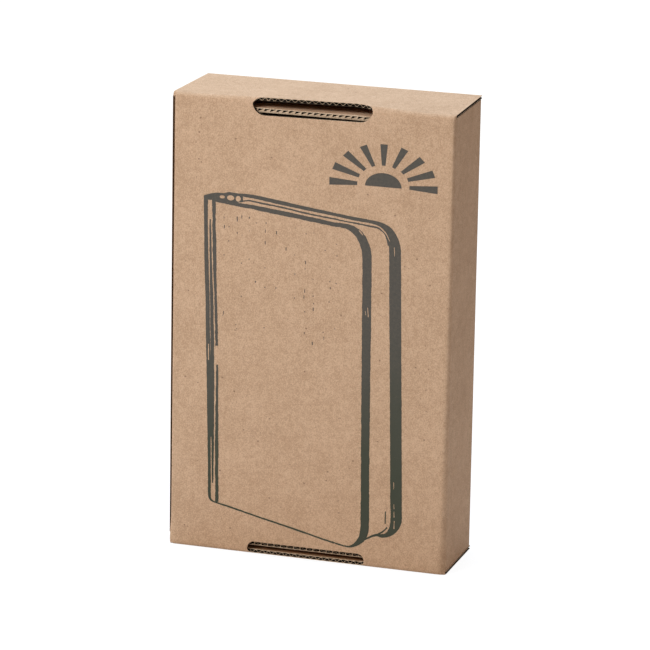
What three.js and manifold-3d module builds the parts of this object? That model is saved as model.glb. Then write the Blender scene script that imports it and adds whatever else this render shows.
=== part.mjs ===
// Folding book lamp, closed and packed in its corrugated carton.
// Millimetres, +Z up, +X right, front of the carton towards -Y.
// The origin is the middle of the surface that the carton stands on.

import * as THREE from 'three';
import { mergeVertices } from 'three/addons/utils/BufferGeometryUtils.js';
import Module from 'manifold-3d';

// Carton
const cartonWidth = 118;
const cartonDepth = 39.5;
const cartonHeight = 190;
const boardThickness = 1.6;
const pieceGap = 0.3;
const edgeClearance = 0.5;
const leftWallSetback = 0.6;
const topWallDrop = 2.8;
const bottomWallRise = 1.7;
const cornerTabLength = 22;
const cornerTabClearance = 4;
const tuckFlapLength = 11;
const tuckCornerTaper = 9;
const fingerSlotLength = 50;
const topSlotHeight = 8.8;
const topSlotFlapDepth = 2.2;
const bottomSlotHeight = 5.6;
const bottomSlotFlapDepth = 0.6;

// Lamp
const lampSideClearance = 2;
const lampHeadroom = 6.8;
const lampFrontClearance = 4;
const coverThickness = 3;
const coverCornerRadius = 8;
const spineWidth = 11;
const spineWall = 1.6;
const spineCornerRadius = 2;
const hingeGroove = 4.8;
const hingeStripOverlap = 7;
const hingeStripThickness = 0.8;
const hingeEdgeSetback = 0.5;

// Paper fan
const fanBoardThickness = 1.2;
const fanBoardInset = 3.5;
const fanInset = 6;
const fanSpineGap = 2.2;
const paperThickness = 0.35;
const leafPitch = 1.85;

// Light and electronics
const endCapThickness = 3;
const diffuserThickness = 1.2;
const chipGap = 0.5;
const chipHeight = 0.8;
const chipWidth = 2.8;
const chipLength = 3.5;
const chipPitch = 20;
const ledBoardThickness = 1;
const ledBoardWidth = 8;
const controlBoardThickness = 1.2;
const controlBoardLength = 44;
const socketLength = 7.6;
const socketWidth = 9;
const socketThickness = 3;
const socketRecess = 0.4;
const socketWall = 0.4;
const socketTongueThickness = 0.7;
const buttonRadius = 1.8;
const buttonFlangeRadius = 2.4;
const buttonFlangeThickness = 1.5;
const buttonProud = 0.9;
const buttonEdgeRadius = 0.4;
const buttonTravel = 0.5;
const switchGap = 0.3;
const switchLength = 3.4;
const switchWidth = 4.6;
const lightPipeRadius = 1.3;
const lightPipeLength = 6.5;
const lightPipeProud = 0.3;
const sensorWidth = 3;
const sensorLength = 1.6;
const sensorThickness = 1.2;
const sensorDrop = 22;
const batteryLength = 70;
const batteryFloorGap = 4;
const wireRadius = 0.5;
const wireSpacing = 5;

// Fasteners and magnets
const magnetRadius = 4;
const magnetThickness = 1.8;
const magnetEdgeDistance = 12;
const magnetEndDistance = 24;
const sensorMagnetRadius = 2.5;
const sensorMagnetSetback = 5;
const screwRadius = 0.8;
const screwLength = 9;
const screwHeadRadius = 1.3;
const screwHeadThickness = 0.9;
const screwPortWall = 1.1;

// Surface steps of round pieces, and how far a cut runs past what it cuts
const foldSegments = 8;
const roundSegments = 24;
const overrun = 2;

// Places that the pieces share
const halfWidth = cartonWidth / 2;
const halfDepth = cartonDepth / 2;
const innerHalfWidth = halfWidth - boardThickness;
const foldRelief = boardThickness + pieceGap;
const frontFace = -halfDepth;
const frontInner = frontFace + boardThickness;
const backInner = halfDepth - boardThickness;
const wallBottom = boardThickness + pieceGap;
const wallTop = cartonHeight - wallBottom;
const floorTop = boardThickness + bottomWallRise + boardThickness;
const ceilingBottom = cartonHeight - boardThickness - topWallDrop - boardThickness;
const lidLeft = -innerHalfWidth + edgeClearance;
const tuckBottom = floorTop + pieceGap;
const tuckTop = ceilingBottom - pieceGap;

// Fold lines: each is the inner corner of the crease
const lidFold = { x: innerHalfWidth, y: frontInner };
const tuckFold = { x: lidLeft + boardThickness, y: frontInner };
const topFold = { y: frontInner, z: cartonHeight - boardThickness };
const bottomFold = { y: frontInner, z: boardThickness };

// Lamp places
const lampRight = innerHalfWidth - boardThickness - lampSideClearance;
const lampLeft = -lampRight;
const lampBack = backInner - pieceGap;
const lampFront = frontInner + lampFrontClearance;
const lampBottom = floorTop + pieceGap;
const lampTop = ceilingBottom - lampHeadroom;
const spineLeft = lampRight - spineWidth;
const hingeX = spineLeft - hingeGroove;
const frontCoverInner = lampFront + coverThickness;
const backCoverInner = lampBack - coverThickness;
const coverRight = hingeX - hingeEdgeSetback;
const cavityLeft = spineLeft + pieceGap;
const cavityRight = lampRight - spineWall;
const cavityFront = lampFront + spineWall;
const cavityBack = lampBack - spineWall;
const cavityMiddle = (cavityFront + cavityBack) / 2;
const capBottom = lampTop - endCapThickness;
const insideTop = capBottom - pieceGap;
const insideBottom = lampBottom + endCapThickness + pieceGap;

// Electronics places
const screwPortSide = 2 * (screwRadius + pieceGap + screwPortWall);
const diffuserRight = cavityLeft + diffuserThickness;
const chipLeft = diffuserRight + chipGap;
const chipRight = chipLeft + chipHeight;
const ledBoardLeft = chipRight + pieceGap;
const ledBoardRight = ledBoardLeft + ledBoardThickness;
const boardRight = cavityRight - pieceGap;
const controlBoardLeft = boardRight - controlBoardThickness;
const partRight = controlBoardLeft - pieceGap;
const socketX = partRight - socketThickness / 2;
const buttonX = partRight - buttonFlangeRadius;
const buttonY = (cavityFront + cavityMiddle - socketWidth / 2) / 2;
const lightPipeX = (diffuserRight + cavityRight - screwPortSide) / 2;
const lightPipeY = 2 * cavityMiddle - buttonY;
const flangeTop = capBottom - pieceGap;
const flangeBottom = flangeTop - buttonFlangeThickness;
const switchTop = flangeBottom - buttonTravel - switchGap;
const controlBoardTop = insideTop;
const controlBoardBottom = controlBoardTop - controlBoardLength;
const sensorTop = controlBoardTop - sensorDrop;
const screwX = cavityRight - screwPortSide / 2;
const screwY = cavityBack - screwPortSide / 2;
const magnetX = lampLeft + magnetEdgeDistance;
const magnetHeights = [lampBottom + magnetEndDistance, lampTop - magnetEndDistance];
const sensorMagnetX = coverRight - sensorMagnetSetback;
const sensorMiddle = sensorTop - sensorLength / 2;
const stripLeft = coverRight - hingeStripOverlap;
const batteryBottom = insideBottom + batteryFloorGap;
const batteryTop = batteryBottom + batteryLength;
const boardFront = cavityFront + pieceGap;
const boardBack = cavityBack - screwPortSide - pieceGap;

const palette = {
  kraft: { color: 0xc79f78, roughness: 0.92, metalness: 0 },
  kraftEdge: { color: 0xa98462, roughness: 0.95, metalness: 0 },
  wood: { color: 0xb98a5b, roughness: 0.6, metalness: 0 },
  strip: { color: 0x8a5f3c, roughness: 0.7, metalness: 0 },
  paper: { color: 0xf2efe6, roughness: 0.85, metalness: 0 },
  greyboard: { color: 0xd9d2c3, roughness: 0.9, metalness: 0 },
  diffuser: { color: 0xf6f3ea, roughness: 0.4, metalness: 0 },
  plastic: { color: 0xe4ddd0, roughness: 0.55, metalness: 0 },
  button: { color: 0x3b3835, roughness: 0.5, metalness: 0 },
  circuit: { color: 0xe8e8e4, roughness: 0.45, metalness: 0 },
  chip: { color: 0xf3d36a, roughness: 0.35, metalness: 0 },
  steel: { color: 0xb8babd, roughness: 0.3, metalness: 1 },
  battery: { color: 0x9aa4ad, roughness: 0.45, metalness: 0.4 },
  wire: { color: 0xb0312a, roughness: 0.5, metalness: 0 },
};

const materials = {};
for (const [name, values] of Object.entries(palette)) {
  materials[name] = new THREE.MeshStandardMaterial({ name, ...values });
}

const wasm = await Module();
wasm.setup();

// Shape helpers

function size(range) {
  return range[1] - range[0];
}

function middle(range) {
  return (range[0] + range[1]) / 2;
}

function mesh(parent, name, geometry, material) {
  const piece = new THREE.Mesh(geometry, material);
  piece.name = name;
  parent.add(piece);
  return piece;
}

function block(x, y, z) {
  const geometry = new THREE.BoxGeometry(size(x), size(y), size(z));
  return geometry.translate(middle(x), middle(y), middle(z));
}

function addBlock(parent, name, material, x, y, z) {
  const geometry = new THREE.BoxGeometry(size(x), size(y), size(z));
  const piece = mesh(parent, name, geometry, material);
  piece.position.set(middle(x), middle(y), middle(z));
  return piece;
}

function extrude(shape, depth) {
  return new THREE.ExtrudeGeometry(shape, {
    depth,
    bevelEnabled: false,
    curveSegments: foldSegments,
  });
}

// An outline drawn in X and Y, standing up from one height to another
function uprightPiece(shape, z) {
  return extrude(shape, size(z)).translate(0, 0, z[0]);
}

// An outline drawn in Y and Z, running across the width
function crossPiece(shape, x) {
  const turn = new THREE.Matrix4().makeBasis(
    new THREE.Vector3(0, 1, 0),
    new THREE.Vector3(0, 0, 1),
    new THREE.Vector3(1, 0, 0),
  );
  return extrude(shape, size(x)).applyMatrix4(turn).translate(x[0], 0, 0);
}

// An outline drawn in X and Z, with its thickness from front to back
function facingPiece(shape, y) {
  const turn = new THREE.Matrix4().makeBasis(
    new THREE.Vector3(1, 0, 0),
    new THREE.Vector3(0, 0, 1),
    new THREE.Vector3(0, -1, 0),
  );
  return extrude(shape, size(y)).applyMatrix4(turn).translate(0, y[1], 0);
}

// A cylinder along Z, X or Y, given by its centre line and its ends
function rodAlongZ(radius, x, y, z) {
  const geometry = new THREE.CylinderGeometry(radius, radius, size(z), roundSegments);
  return geometry.rotateX(Math.PI / 2).translate(x, y, middle(z));
}

function rodAlongX(radius, x, y, z) {
  const geometry = new THREE.CylinderGeometry(radius, radius, size(x), roundSegments);
  return geometry.rotateZ(Math.PI / 2).translate(middle(x), y, z);
}

function rodAlongY(radius, x, y, z) {
  const geometry = new THREE.CylinderGeometry(radius, radius, size(y), roundSegments);
  return geometry.translate(x, middle(y), z);
}

function toSolid(geometry) {
  const bare = geometry.clone();
  bare.deleteAttribute('normal');
  bare.deleteAttribute('uv');
  const merged = mergeVertices(bare);
  return new wasm.Manifold(new wasm.Mesh({
    numProp: 3,
    vertProperties: merged.attributes.position.array,
    triVerts: Uint32Array.from(merged.index.array),
  }));
}

function toGeometry(solid) {
  const { vertProperties, triVerts, numProp } = solid.getMesh();
  const geometry = new THREE.BufferGeometry();
  geometry.setAttribute('position', new THREE.BufferAttribute(vertProperties, numProp));
  geometry.setIndex(new THREE.BufferAttribute(triVerts, 1));
  geometry.computeVertexNormals();
  return geometry;
}

function cut(geometry, cutters) {
  return toGeometry(cutters.reduce(
    (solid, cutter) => solid.subtract(toSolid(cutter)),
    toSolid(geometry),
  ));
}

function join(geometries) {
  return toGeometry(geometries.map(toSolid).reduce((all, solid) => all.add(solid)));
}

// A slot with round ends, centred on a point of its plane
function slotOutline(length, height, centreX, centreY) {
  const radius = height / 2;
  const straight = length / 2 - radius;
  const shape = new THREE.Shape();
  shape.moveTo(centreX - straight, centreY - radius);
  shape.lineTo(centreX + straight, centreY - radius);
  shape.absarc(centreX + straight, centreY, radius, -Math.PI / 2, Math.PI / 2);
  shape.lineTo(centreX - straight, centreY + radius);
  shape.absarc(centreX - straight, centreY, radius, Math.PI / 2, 3 * Math.PI / 2);
  shape.closePath();
  return shape;
}

// A ribbon of one thickness along a path whose corners are all square
function ribbonOutline(path, thickness) {
  const sideways = path.slice(1).map((point, index) => {
    const along = point.clone().sub(path[index]).normalize();
    return new THREE.Vector2(-along.y, along.x).multiplyScalar(thickness / 2);
  });
  const offset = path.map((point, index) => {
    const before = sideways[index - 1] ?? new THREE.Vector2();
    const after = sideways[index] ?? new THREE.Vector2();
    return before.clone().add(after);
  });
  const leftSide = path.map((point, index) => point.clone().add(offset[index]));
  const rightSide = path.map((point, index) => point.clone().sub(offset[index]));
  return new THREE.Shape([...leftSide, ...rightSide.reverse()]);
}

// Carton: the tray that the lamp lies in

function backPanel(tray) {
  const shape = new THREE.Shape();
  shape.moveTo(-halfWidth, backInner);
  shape.lineTo(halfWidth, backInner);
  shape.absarc(halfWidth - boardThickness, backInner, boardThickness, 0, Math.PI / 2);
  shape.lineTo(-halfWidth + boardThickness, halfDepth);
  shape.absarc(-halfWidth + boardThickness, backInner, boardThickness, Math.PI / 2, Math.PI);
  shape.closePath();
  mesh(tray, 'back_panel', uprightPiece(shape, [wallBottom, wallTop]), materials.kraft);
}

function sideWalls(tray) {
  const heights = [wallBottom, wallTop];
  const wallBack = backInner - pieceGap;
  const leftX = [-halfWidth, -innerHalfWidth];
  const leftY = [frontFace + leftWallSetback, wallBack];
  const acrossLeft = [-halfWidth - overrun, -innerHalfWidth + overrun];
  const flapReliefs = [topFold, bottomFold].map((fold) => (
    rodAlongX(foldRelief, acrossLeft, fold.y, fold.z)
  ));
  const leftWall = cut(block(leftX, leftY, heights), flapReliefs);
  mesh(tray, 'left_wall', leftWall, materials.kraft);
  const plate = block([innerHalfWidth, halfWidth], [frontInner, wallBack], heights);
  const cutHeights = [wallBottom - overrun, wallTop + overrun];
  const crease = rodAlongZ(foldRelief, lidFold.x, lidFold.y, cutHeights);
  mesh(tray, 'right_wall', cut(plate, [crease]), materials.kraft);
}

function endWalls(tray) {
  const reach = innerHalfWidth - pieceGap;
  const x = [-reach, reach];
  const y = [frontInner + pieceGap, backInner - pieceGap];
  const top = [ceilingBottom, ceilingBottom + boardThickness];
  const bottom = [floorTop - boardThickness, floorTop];
  const lidRelief = rodAlongZ(foldRelief, lidFold.x, lidFold.y, [0, cartonHeight]);
  mesh(tray, 'top_end_wall', cut(block(x, y, top), [lidRelief]), materials.kraftEdge);
  mesh(tray, 'bottom_end_wall', cut(block(x, y, bottom), [lidRelief]), materials.kraftEdge);
}

function cornerTabs(tray) {
  const outer = innerHalfWidth - pieceGap;
  const inner = outer - boardThickness;
  const y = [frontInner + tuckFlapLength + cornerTabClearance, backInner - pieceGap];
  const upper = [ceilingBottom - pieceGap - cornerTabLength, ceilingBottom - pieceGap];
  const lower = [floorTop + pieceGap, floorTop + pieceGap + cornerTabLength];
  for (const [side, x] of [['left', [-outer, -inner]], ['right', [inner, outer]]]) {
    addBlock(tray, `top_${side}_tab`, materials.kraftEdge, x, y, upper);
    addBlock(tray, `bottom_${side}_tab`, materials.kraftEdge, x, y, lower);
  }
}

// Carton: the lid with its two outer flaps and its tuck flap

// A finger slot crosses a fold: its middle lies this far from the folded edge, in the lid
function slotDrop(height, flapDepth) {
  return height / 2 - flapDepth;
}

const topSlotDrop = slotDrop(topSlotHeight, topSlotFlapDepth);
const bottomSlotDrop = slotDrop(bottomSlotHeight, bottomSlotFlapDepth);

function fingerSlot(height, centre) {
  return slotOutline(fingerSlotLength, height, 0, centre);
}

function lidPanel(lid) {
  const shape = new THREE.Shape();
  shape.moveTo(lidLeft, frontFace);
  shape.lineTo(lidFold.x, frontFace);
  shape.absarc(lidFold.x, lidFold.y, boardThickness, -Math.PI / 2, 0);
  shape.lineTo(lidLeft, frontInner);
  shape.closePath();
  const plate = uprightPiece(shape, [bottomFold.z, topFold.z]);
  const across = [-halfWidth - overrun, halfWidth + overrun];
  const through = [frontFace - overrun, frontInner + overrun];
  const tuckHeights = [tuckBottom - pieceGap, tuckTop + pieceGap];
  const topSlot = fingerSlot(topSlotHeight, cartonHeight - topSlotDrop);
  const bottomSlot = fingerSlot(bottomSlotHeight, bottomSlotDrop);
  mesh(lid, 'lid_panel', cut(plate, [
    rodAlongX(foldRelief, across, topFold.y, topFold.z),
    rodAlongX(foldRelief, across, bottomFold.y, bottomFold.z),
    rodAlongZ(foldRelief, tuckFold.x, tuckFold.y, tuckHeights),
    block([lidLeft - overrun, tuckFold.x], through, tuckHeights),
    facingPiece(topSlot, through),
    facingPiece(bottomSlot, through),
  ]), materials.kraft);
}

// A flap lying level, with its round fold at the front
function levelFlap(fold, outside) {
  const shape = new THREE.Shape();
  const start = outside * Math.PI / 2;
  shape.moveTo(fold.y, fold.z);
  shape.lineTo(halfDepth, fold.z);
  shape.lineTo(halfDepth, fold.z + outside * boardThickness);
  shape.lineTo(fold.y, fold.z + outside * boardThickness);
  shape.absarc(fold.y, fold.z, boardThickness, start, outside * Math.PI, outside < 0);
  shape.closePath();
  return crossPiece(shape, [-halfWidth, halfWidth]);
}

function outerFlaps(topHolder, bottomHolder) {
  const topHeights = [topFold.z - overrun, cartonHeight + overrun];
  const bottomHeights = [-overrun, bottomFold.z + overrun];
  const topSlot = fingerSlot(topSlotHeight, frontFace - topSlotDrop);
  const bottomSlot = fingerSlot(bottomSlotHeight, frontFace - bottomSlotDrop);
  const top = cut(levelFlap(topFold, 1), [uprightPiece(topSlot, topHeights)]);
  const bottom = cut(levelFlap(bottomFold, -1), [uprightPiece(bottomSlot, bottomHeights)]);
  mesh(topHolder, 'top_flap', top, materials.kraft);
  mesh(bottomHolder, 'bottom_flap', bottom, materials.kraft);
}

function tuckFlap(holder) {
  const shape = new THREE.Shape();
  shape.moveTo(tuckFold.x, tuckFold.y);
  shape.lineTo(tuckFold.x, tuckFold.y + tuckFlapLength);
  shape.lineTo(lidLeft, tuckFold.y + tuckFlapLength);
  shape.lineTo(lidLeft, tuckFold.y);
  shape.absarc(tuckFold.x, tuckFold.y, boardThickness, Math.PI, 3 * Math.PI / 2);
  shape.closePath();
  const plate = uprightPiece(shape, [tuckBottom, tuckTop]);
  const corner = (z, inwards) => {
    const taper = new THREE.Shape();
    const free = tuckFold.y + tuckFlapLength;
    taper.moveTo(tuckFold.y, z);
    taper.lineTo(free, z + inwards * tuckCornerTaper);
    taper.lineTo(free + overrun, z + inwards * tuckCornerTaper);
    taper.lineTo(free + overrun, z - inwards * overrun);
    taper.lineTo(tuckFold.y, z - inwards * overrun);
    taper.closePath();
    return crossPiece(taper, [lidLeft - overrun, tuckFold.x + overrun]);
  };
  const piece = cut(plate, [corner(tuckBottom, 1), corner(tuckTop, -1)]);
  mesh(holder, 'tuck_flap', piece, materials.kraft);
}

// Lamp: covers, hinge strips and spine

function coverOutline() {
  const shape = new THREE.Shape();
  const left = lampLeft;
  const radius = coverCornerRadius;
  shape.moveTo(coverRight, lampBottom);
  shape.lineTo(coverRight, lampTop);
  shape.lineTo(left + radius, lampTop);
  shape.absarc(left + radius, lampTop - radius, radius, Math.PI / 2, Math.PI);
  shape.lineTo(left, lampBottom + radius);
  shape.absarc(left + radius, lampBottom + radius, radius, Math.PI, 3 * Math.PI / 2);
  shape.closePath();
  return shape;
}

function magnetPockets(inner, inwards, radius, x, heights) {
  const depth = magnetThickness + pieceGap;
  const y = [inner - inwards * depth, inner + inwards * overrun].sort((a, b) => a - b);
  return heights.map((z) => rodAlongY(radius + pieceGap, x, y, z));
}

function covers(base, cover) {
  const frontY = [lampFront, frontCoverInner];
  const backY = [backCoverInner, lampBack];
  const front = cut(facingPiece(coverOutline(), frontY), [
    ...magnetPockets(frontCoverInner, 1, magnetRadius, magnetX, magnetHeights),
    ...magnetPockets(frontCoverInner, 1, sensorMagnetRadius, sensorMagnetX, [sensorMiddle]),
  ]);
  const back = cut(facingPiece(coverOutline(), backY), magnetPockets(
    backCoverInner, -1, magnetRadius, magnetX, magnetHeights,
  ));
  mesh(cover, 'front_cover', front, materials.wood);
  mesh(base, 'back_cover', back, materials.wood);
}

function magnets(base, cover) {
  const frontY = [frontCoverInner - magnetThickness, frontCoverInner];
  const backY = [backCoverInner, backCoverInner + magnetThickness];
  const sensor = rodAlongY(sensorMagnetRadius, sensorMagnetX, frontY, sensorMiddle);
  mesh(cover, 'sensor_magnet', sensor, materials.steel);
  magnetHeights.forEach((z, index) => {
    const end = ['lower', 'upper'][index];
    mesh(cover, `front_magnet_${end}`, rodAlongY(magnetRadius, magnetX, frontY, z), materials.steel);
    mesh(base, `back_magnet_${end}`, rodAlongY(magnetRadius, magnetX, backY, z), materials.steel);
  });
}

function hingeStrips(base, cover) {
  const x = [stripLeft, spineLeft - pieceGap];
  const z = [lampBottom + fanBoardInset, lampTop - fanBoardInset];
  const front = [frontCoverInner + pieceGap, frontCoverInner + pieceGap + hingeStripThickness];
  const back = [backCoverInner - pieceGap - hingeStripThickness, backCoverInner - pieceGap];
  addBlock(cover, 'front_hinge_strip', materials.strip, x, front, z);
  addBlock(base, 'back_hinge_strip', materials.strip, x, back, z);
}

function spineShell(base) {
  const shape = new THREE.Shape();
  const radius = spineCornerRadius;
  shape.moveTo(spineLeft, lampFront);
  shape.lineTo(lampRight - radius, lampFront);
  shape.absarc(lampRight - radius, lampFront + radius, radius, -Math.PI / 2, 0);
  shape.lineTo(lampRight, lampBack - radius);
  shape.absarc(lampRight - radius, lampBack - radius, radius, 0, Math.PI / 2);
  shape.lineTo(spineLeft, lampBack);
  shape.lineTo(spineLeft, cavityBack);
  shape.lineTo(cavityRight - screwPortSide, cavityBack);
  shape.lineTo(cavityRight - screwPortSide, cavityBack - screwPortSide);
  shape.lineTo(cavityRight, cavityBack - screwPortSide);
  shape.lineTo(cavityRight, cavityFront);
  shape.lineTo(spineLeft, cavityFront);
  shape.closePath();
  const profile = uprightPiece(shape, [lampBottom, lampTop]);
  const seatX = [spineLeft, cavityRight];
  const seatY = [cavityFront, cavityBack];
  const topSeat = block(seatX, seatY, [capBottom - pieceGap, lampTop + overrun]);
  const bottomSeat = block(seatX, seatY, [lampBottom - overrun, insideBottom]);
  const ends = [lampBottom - overrun, lampTop + overrun];
  const screwHole = rodAlongZ(screwRadius + pieceGap, screwX, screwY, ends);
  mesh(base, 'spine_shell', cut(profile, [topSeat, bottomSeat, screwHole]), materials.wood);
}

// Lamp: the pleated paper and the boards that it is glued to

function fanBoards(base, cover) {
  const x = [lampLeft + fanBoardInset, stripLeft - pieceGap];
  const z = [lampBottom + fanBoardInset, lampTop - fanBoardInset];
  const front = [frontCoverInner + pieceGap, frontCoverInner + pieceGap + fanBoardThickness];
  const back = [backCoverInner - pieceGap - fanBoardThickness, backCoverInner - pieceGap];
  addBlock(cover, 'front_fan_board', materials.greyboard, x, front, z);
  addBlock(base, 'back_fan_board', materials.greyboard, x, back, z);
}

function paperFan(base) {
  const boardSpace = pieceGap + fanBoardThickness + pieceGap;
  const front = frontCoverInner + boardSpace + paperThickness / 2;
  const back = backCoverInner - boardSpace - paperThickness / 2;
  const pitches = Math.floor((back - front) / leafPitch);
  const pitch = (back - front) / pitches;
  const folds = [spineLeft - fanSpineGap, lampLeft + fanInset];
  const path = [];
  for (let leaf = 0; leaf <= pitches; leaf += 1) {
    const y = front + leaf * pitch;
    path.push(new THREE.Vector2(folds[leaf % 2], y));
    path.push(new THREE.Vector2(folds[(leaf + 1) % 2], y));
  }
  const z = [lampBottom + fanInset, lampTop - fanInset];
  const ribbon = uprightPiece(ribbonOutline(path, paperThickness), z);
  mesh(base, 'paper_fan', ribbon, materials.paper);
}

// Lamp: light, electronics and the button

function endCaps(base) {
  const x = [cavityLeft, cavityRight - pieceGap];
  const y = [cavityFront + pieceGap, cavityBack - pieceGap];
  const top = [capBottom, lampTop];
  const bottom = [lampBottom, lampBottom + endCapThickness];
  const headRoom = screwHeadThickness + pieceGap;
  const sink = (z) => rodAlongZ(screwHeadRadius + pieceGap, screwX, screwY, z);
  const past = [capBottom - overrun, lampTop + overrun];
  const below = [lampBottom - overrun, insideBottom + overrun];
  const socketHole = block(
    [partRight - socketThickness - pieceGap, partRight + pieceGap],
    [cavityMiddle - socketWidth / 2 - pieceGap, cavityMiddle + socketWidth / 2 + pieceGap],
    past,
  );
  const topCap = cut(block(x, y, top), [
    sink([lampTop - headRoom, lampTop + overrun]),
    rodAlongZ(screwRadius + pieceGap, screwX, screwY, past),
    rodAlongZ(buttonRadius + pieceGap, buttonX, buttonY, past),
    rodAlongZ(lightPipeRadius + pieceGap, lightPipeX, lightPipeY, past),
    socketHole,
  ]);
  const bottomCap = cut(block(x, y, bottom), [
    sink([lampBottom - overrun, lampBottom + headRoom]),
    rodAlongZ(screwRadius + pieceGap, screwX, screwY, below),
  ]);
  mesh(base, 'top_end_cap', topCap, materials.plastic);
  mesh(base, 'bottom_end_cap', bottomCap, materials.plastic);
}

function capScrews(base) {
  const top = lampTop - screwHeadThickness;
  const bottom = lampBottom + screwHeadThickness;
  const upper = join([
    rodAlongZ(screwHeadRadius, screwX, screwY, [top, lampTop]),
    rodAlongZ(screwRadius, screwX, screwY, [top - screwLength, lampTop]),
  ]);
  const lower = join([
    rodAlongZ(screwHeadRadius, screwX, screwY, [lampBottom, bottom]),
    rodAlongZ(screwRadius, screwX, screwY, [lampBottom, bottom + screwLength]),
  ]);
  mesh(base, 'top_cap_screw', upper, materials.steel);
  mesh(base, 'bottom_cap_screw', lower, materials.steel);
}

function lightBar(base) {
  const y = [cavityFront + pieceGap, cavityBack - pieceGap];
  const z = [insideBottom, insideTop];
  const boardY = [cavityMiddle - ledBoardWidth / 2, cavityMiddle + ledBoardWidth / 2];
  addBlock(base, 'light_diffuser', materials.diffuser, [cavityLeft, diffuserRight], y, z);
  addBlock(base, 'led_board', materials.circuit, [ledBoardLeft, ledBoardRight], boardY, z);
  const count = Math.floor(size(z) / chipPitch);
  const first = middle(z) - (count - 1) * chipPitch / 2;
  const chipY = [cavityMiddle - chipWidth / 2, cavityMiddle + chipWidth / 2];
  for (let index = 0; index < count; index += 1) {
    const centre = first + index * chipPitch;
    const chipZ = [centre - chipLength / 2, centre + chipLength / 2];
    addBlock(base, `led_chip_${index + 1}`, materials.chip, [chipLeft, chipRight], chipY, chipZ);
  }
}

function controls(base) {
  const y = [boardFront, boardBack];
  const z = [controlBoardBottom, controlBoardTop];
  addBlock(base, 'control_board', materials.circuit, [controlBoardLeft, boardRight], y, z);
  const socketZ = [lampTop - socketRecess - socketLength, lampTop - socketRecess];
  const socketOuter = block(
    [partRight - socketThickness, partRight],
    [cavityMiddle - socketWidth / 2, cavityMiddle + socketWidth / 2],
    socketZ,
  );
  const socketMouth = block(
    [partRight - socketThickness + socketWall, partRight - socketWall],
    [cavityMiddle - socketWidth / 2 + socketWall, cavityMiddle + socketWidth / 2 - socketWall],
    [socketZ[0] + 2 * socketWall, socketZ[1] + overrun],
  );
  const tongue = block(
    [socketX - socketTongueThickness / 2, socketX + socketTongueThickness / 2],
    [cavityMiddle - socketWidth / 2 + 4 * socketWall, cavityMiddle + socketWidth / 2 - 4 * socketWall],
    [socketZ[0] + socketWall, socketZ[1] - 2 * socketWall],
  );
  const shell = cut(socketOuter, [socketMouth]);
  mesh(base, 'usb_socket', join([shell, tongue]), materials.steel);
  const switchX = [buttonX - buttonRadius, partRight];
  const switchY = [buttonY - switchWidth / 2, buttonY + switchWidth / 2];
  addBlock(base, 'tact_switch', materials.button, switchX, switchY, [switchTop - switchLength, switchTop]);
  const sensorX = [partRight - sensorThickness, partRight];
  const sensorY = [boardFront + pieceGap, boardFront + pieceGap + sensorWidth];
  addBlock(base, 'cover_sensor', materials.button, sensorX, sensorY, [sensorTop - sensorLength, sensorTop]);
  const pipeZ = [lampTop + lightPipeProud - lightPipeLength, lampTop + lightPipeProud];
  const pipe = rodAlongZ(lightPipeRadius, lightPipeX, lightPipeY, pipeZ);
  mesh(base, 'charge_indicator', pipe, materials.diffuser);
}

function modeButton(holder) {
  const top = lampTop + buttonProud;
  const edge = buttonEdgeRadius;
  const profile = new THREE.Path();
  profile.moveTo(0, flangeBottom);
  profile.lineTo(buttonFlangeRadius, flangeBottom);
  profile.lineTo(buttonFlangeRadius, flangeTop);
  profile.lineTo(buttonRadius, flangeTop);
  profile.lineTo(buttonRadius, top - edge);
  profile.absarc(buttonRadius - edge, top - edge, edge, 0, Math.PI / 2);
  profile.lineTo(0, top);
  const points = profile.getPoints(foldSegments);
  const geometry = new THREE.LatheGeometry(points, roundSegments).rotateX(Math.PI / 2);
  const piece = mesh(holder, 'mode_button', toGeometry(toSolid(geometry)), materials.button);
  piece.position.set(buttonX, buttonY, 0);
}

function battery(base) {
  const x = [ledBoardRight + pieceGap, boardRight];
  const y = [boardFront, boardBack];
  addBlock(base, 'battery_cell', materials.battery, x, y, [batteryBottom, batteryTop]);
  const backX = boardRight - wireRadius;
  const backZ = [batteryTop + pieceGap, controlBoardBottom - pieceGap];
  const bridgeX = [ledBoardRight + pieceGap, partRight];
  const bridgeZ = controlBoardBottom + wireSpacing;
  for (const [name, side] of [['positive', 1], ['negative', -1]]) {
    const wireY = cavityMiddle + side * wireSpacing / 2;
    const batteryLead = rodAlongZ(wireRadius, backX, wireY, backZ);
    const ledLead = rodAlongX(wireRadius, bridgeX, wireY, bridgeZ);
    mesh(base, `battery_lead_${name}`, batteryLead, materials.wire);
    mesh(base, `led_lead_${name}`, ledLead, materials.wire);
  }
}

// Assembly: each moving piece hangs from what carries it

const carton = new THREE.Group();
const lamp = new THREE.Group();
const lid = new THREE.Group();
const topFlapHolder = new THREE.Group();
const bottomFlapHolder = new THREE.Group();
const tuckFlapHolder = new THREE.Group();
const lampCover = new THREE.Group();
const buttonHolder = new THREE.Group();
carton.add(lamp, lid);
lid.add(topFlapHolder, bottomFlapHolder, tuckFlapHolder);
lamp.add(lampCover, buttonHolder);

backPanel(carton);
sideWalls(carton);
endWalls(carton);
cornerTabs(carton);
lidPanel(lid);
outerFlaps(topFlapHolder, bottomFlapHolder);
tuckFlap(tuckFlapHolder);
covers(lamp, lampCover);
magnets(lamp, lampCover);
hingeStrips(lamp, lampCover);
spineShell(lamp);
fanBoards(lamp, lampCover);
paperFan(lamp);
endCaps(lamp);
capScrews(lamp);
lightBar(lamp);
controls(lamp);
modeButton(buttonHolder);
battery(lamp);

export default carton;
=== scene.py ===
import logging
import math
import random
from dataclasses import dataclass, field
from enum import Enum, IntEnum
from typing import Callable, Iterable, Mapping, Sequence

import bmesh
import bpy
from mathutils import Matrix, Vector


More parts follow.
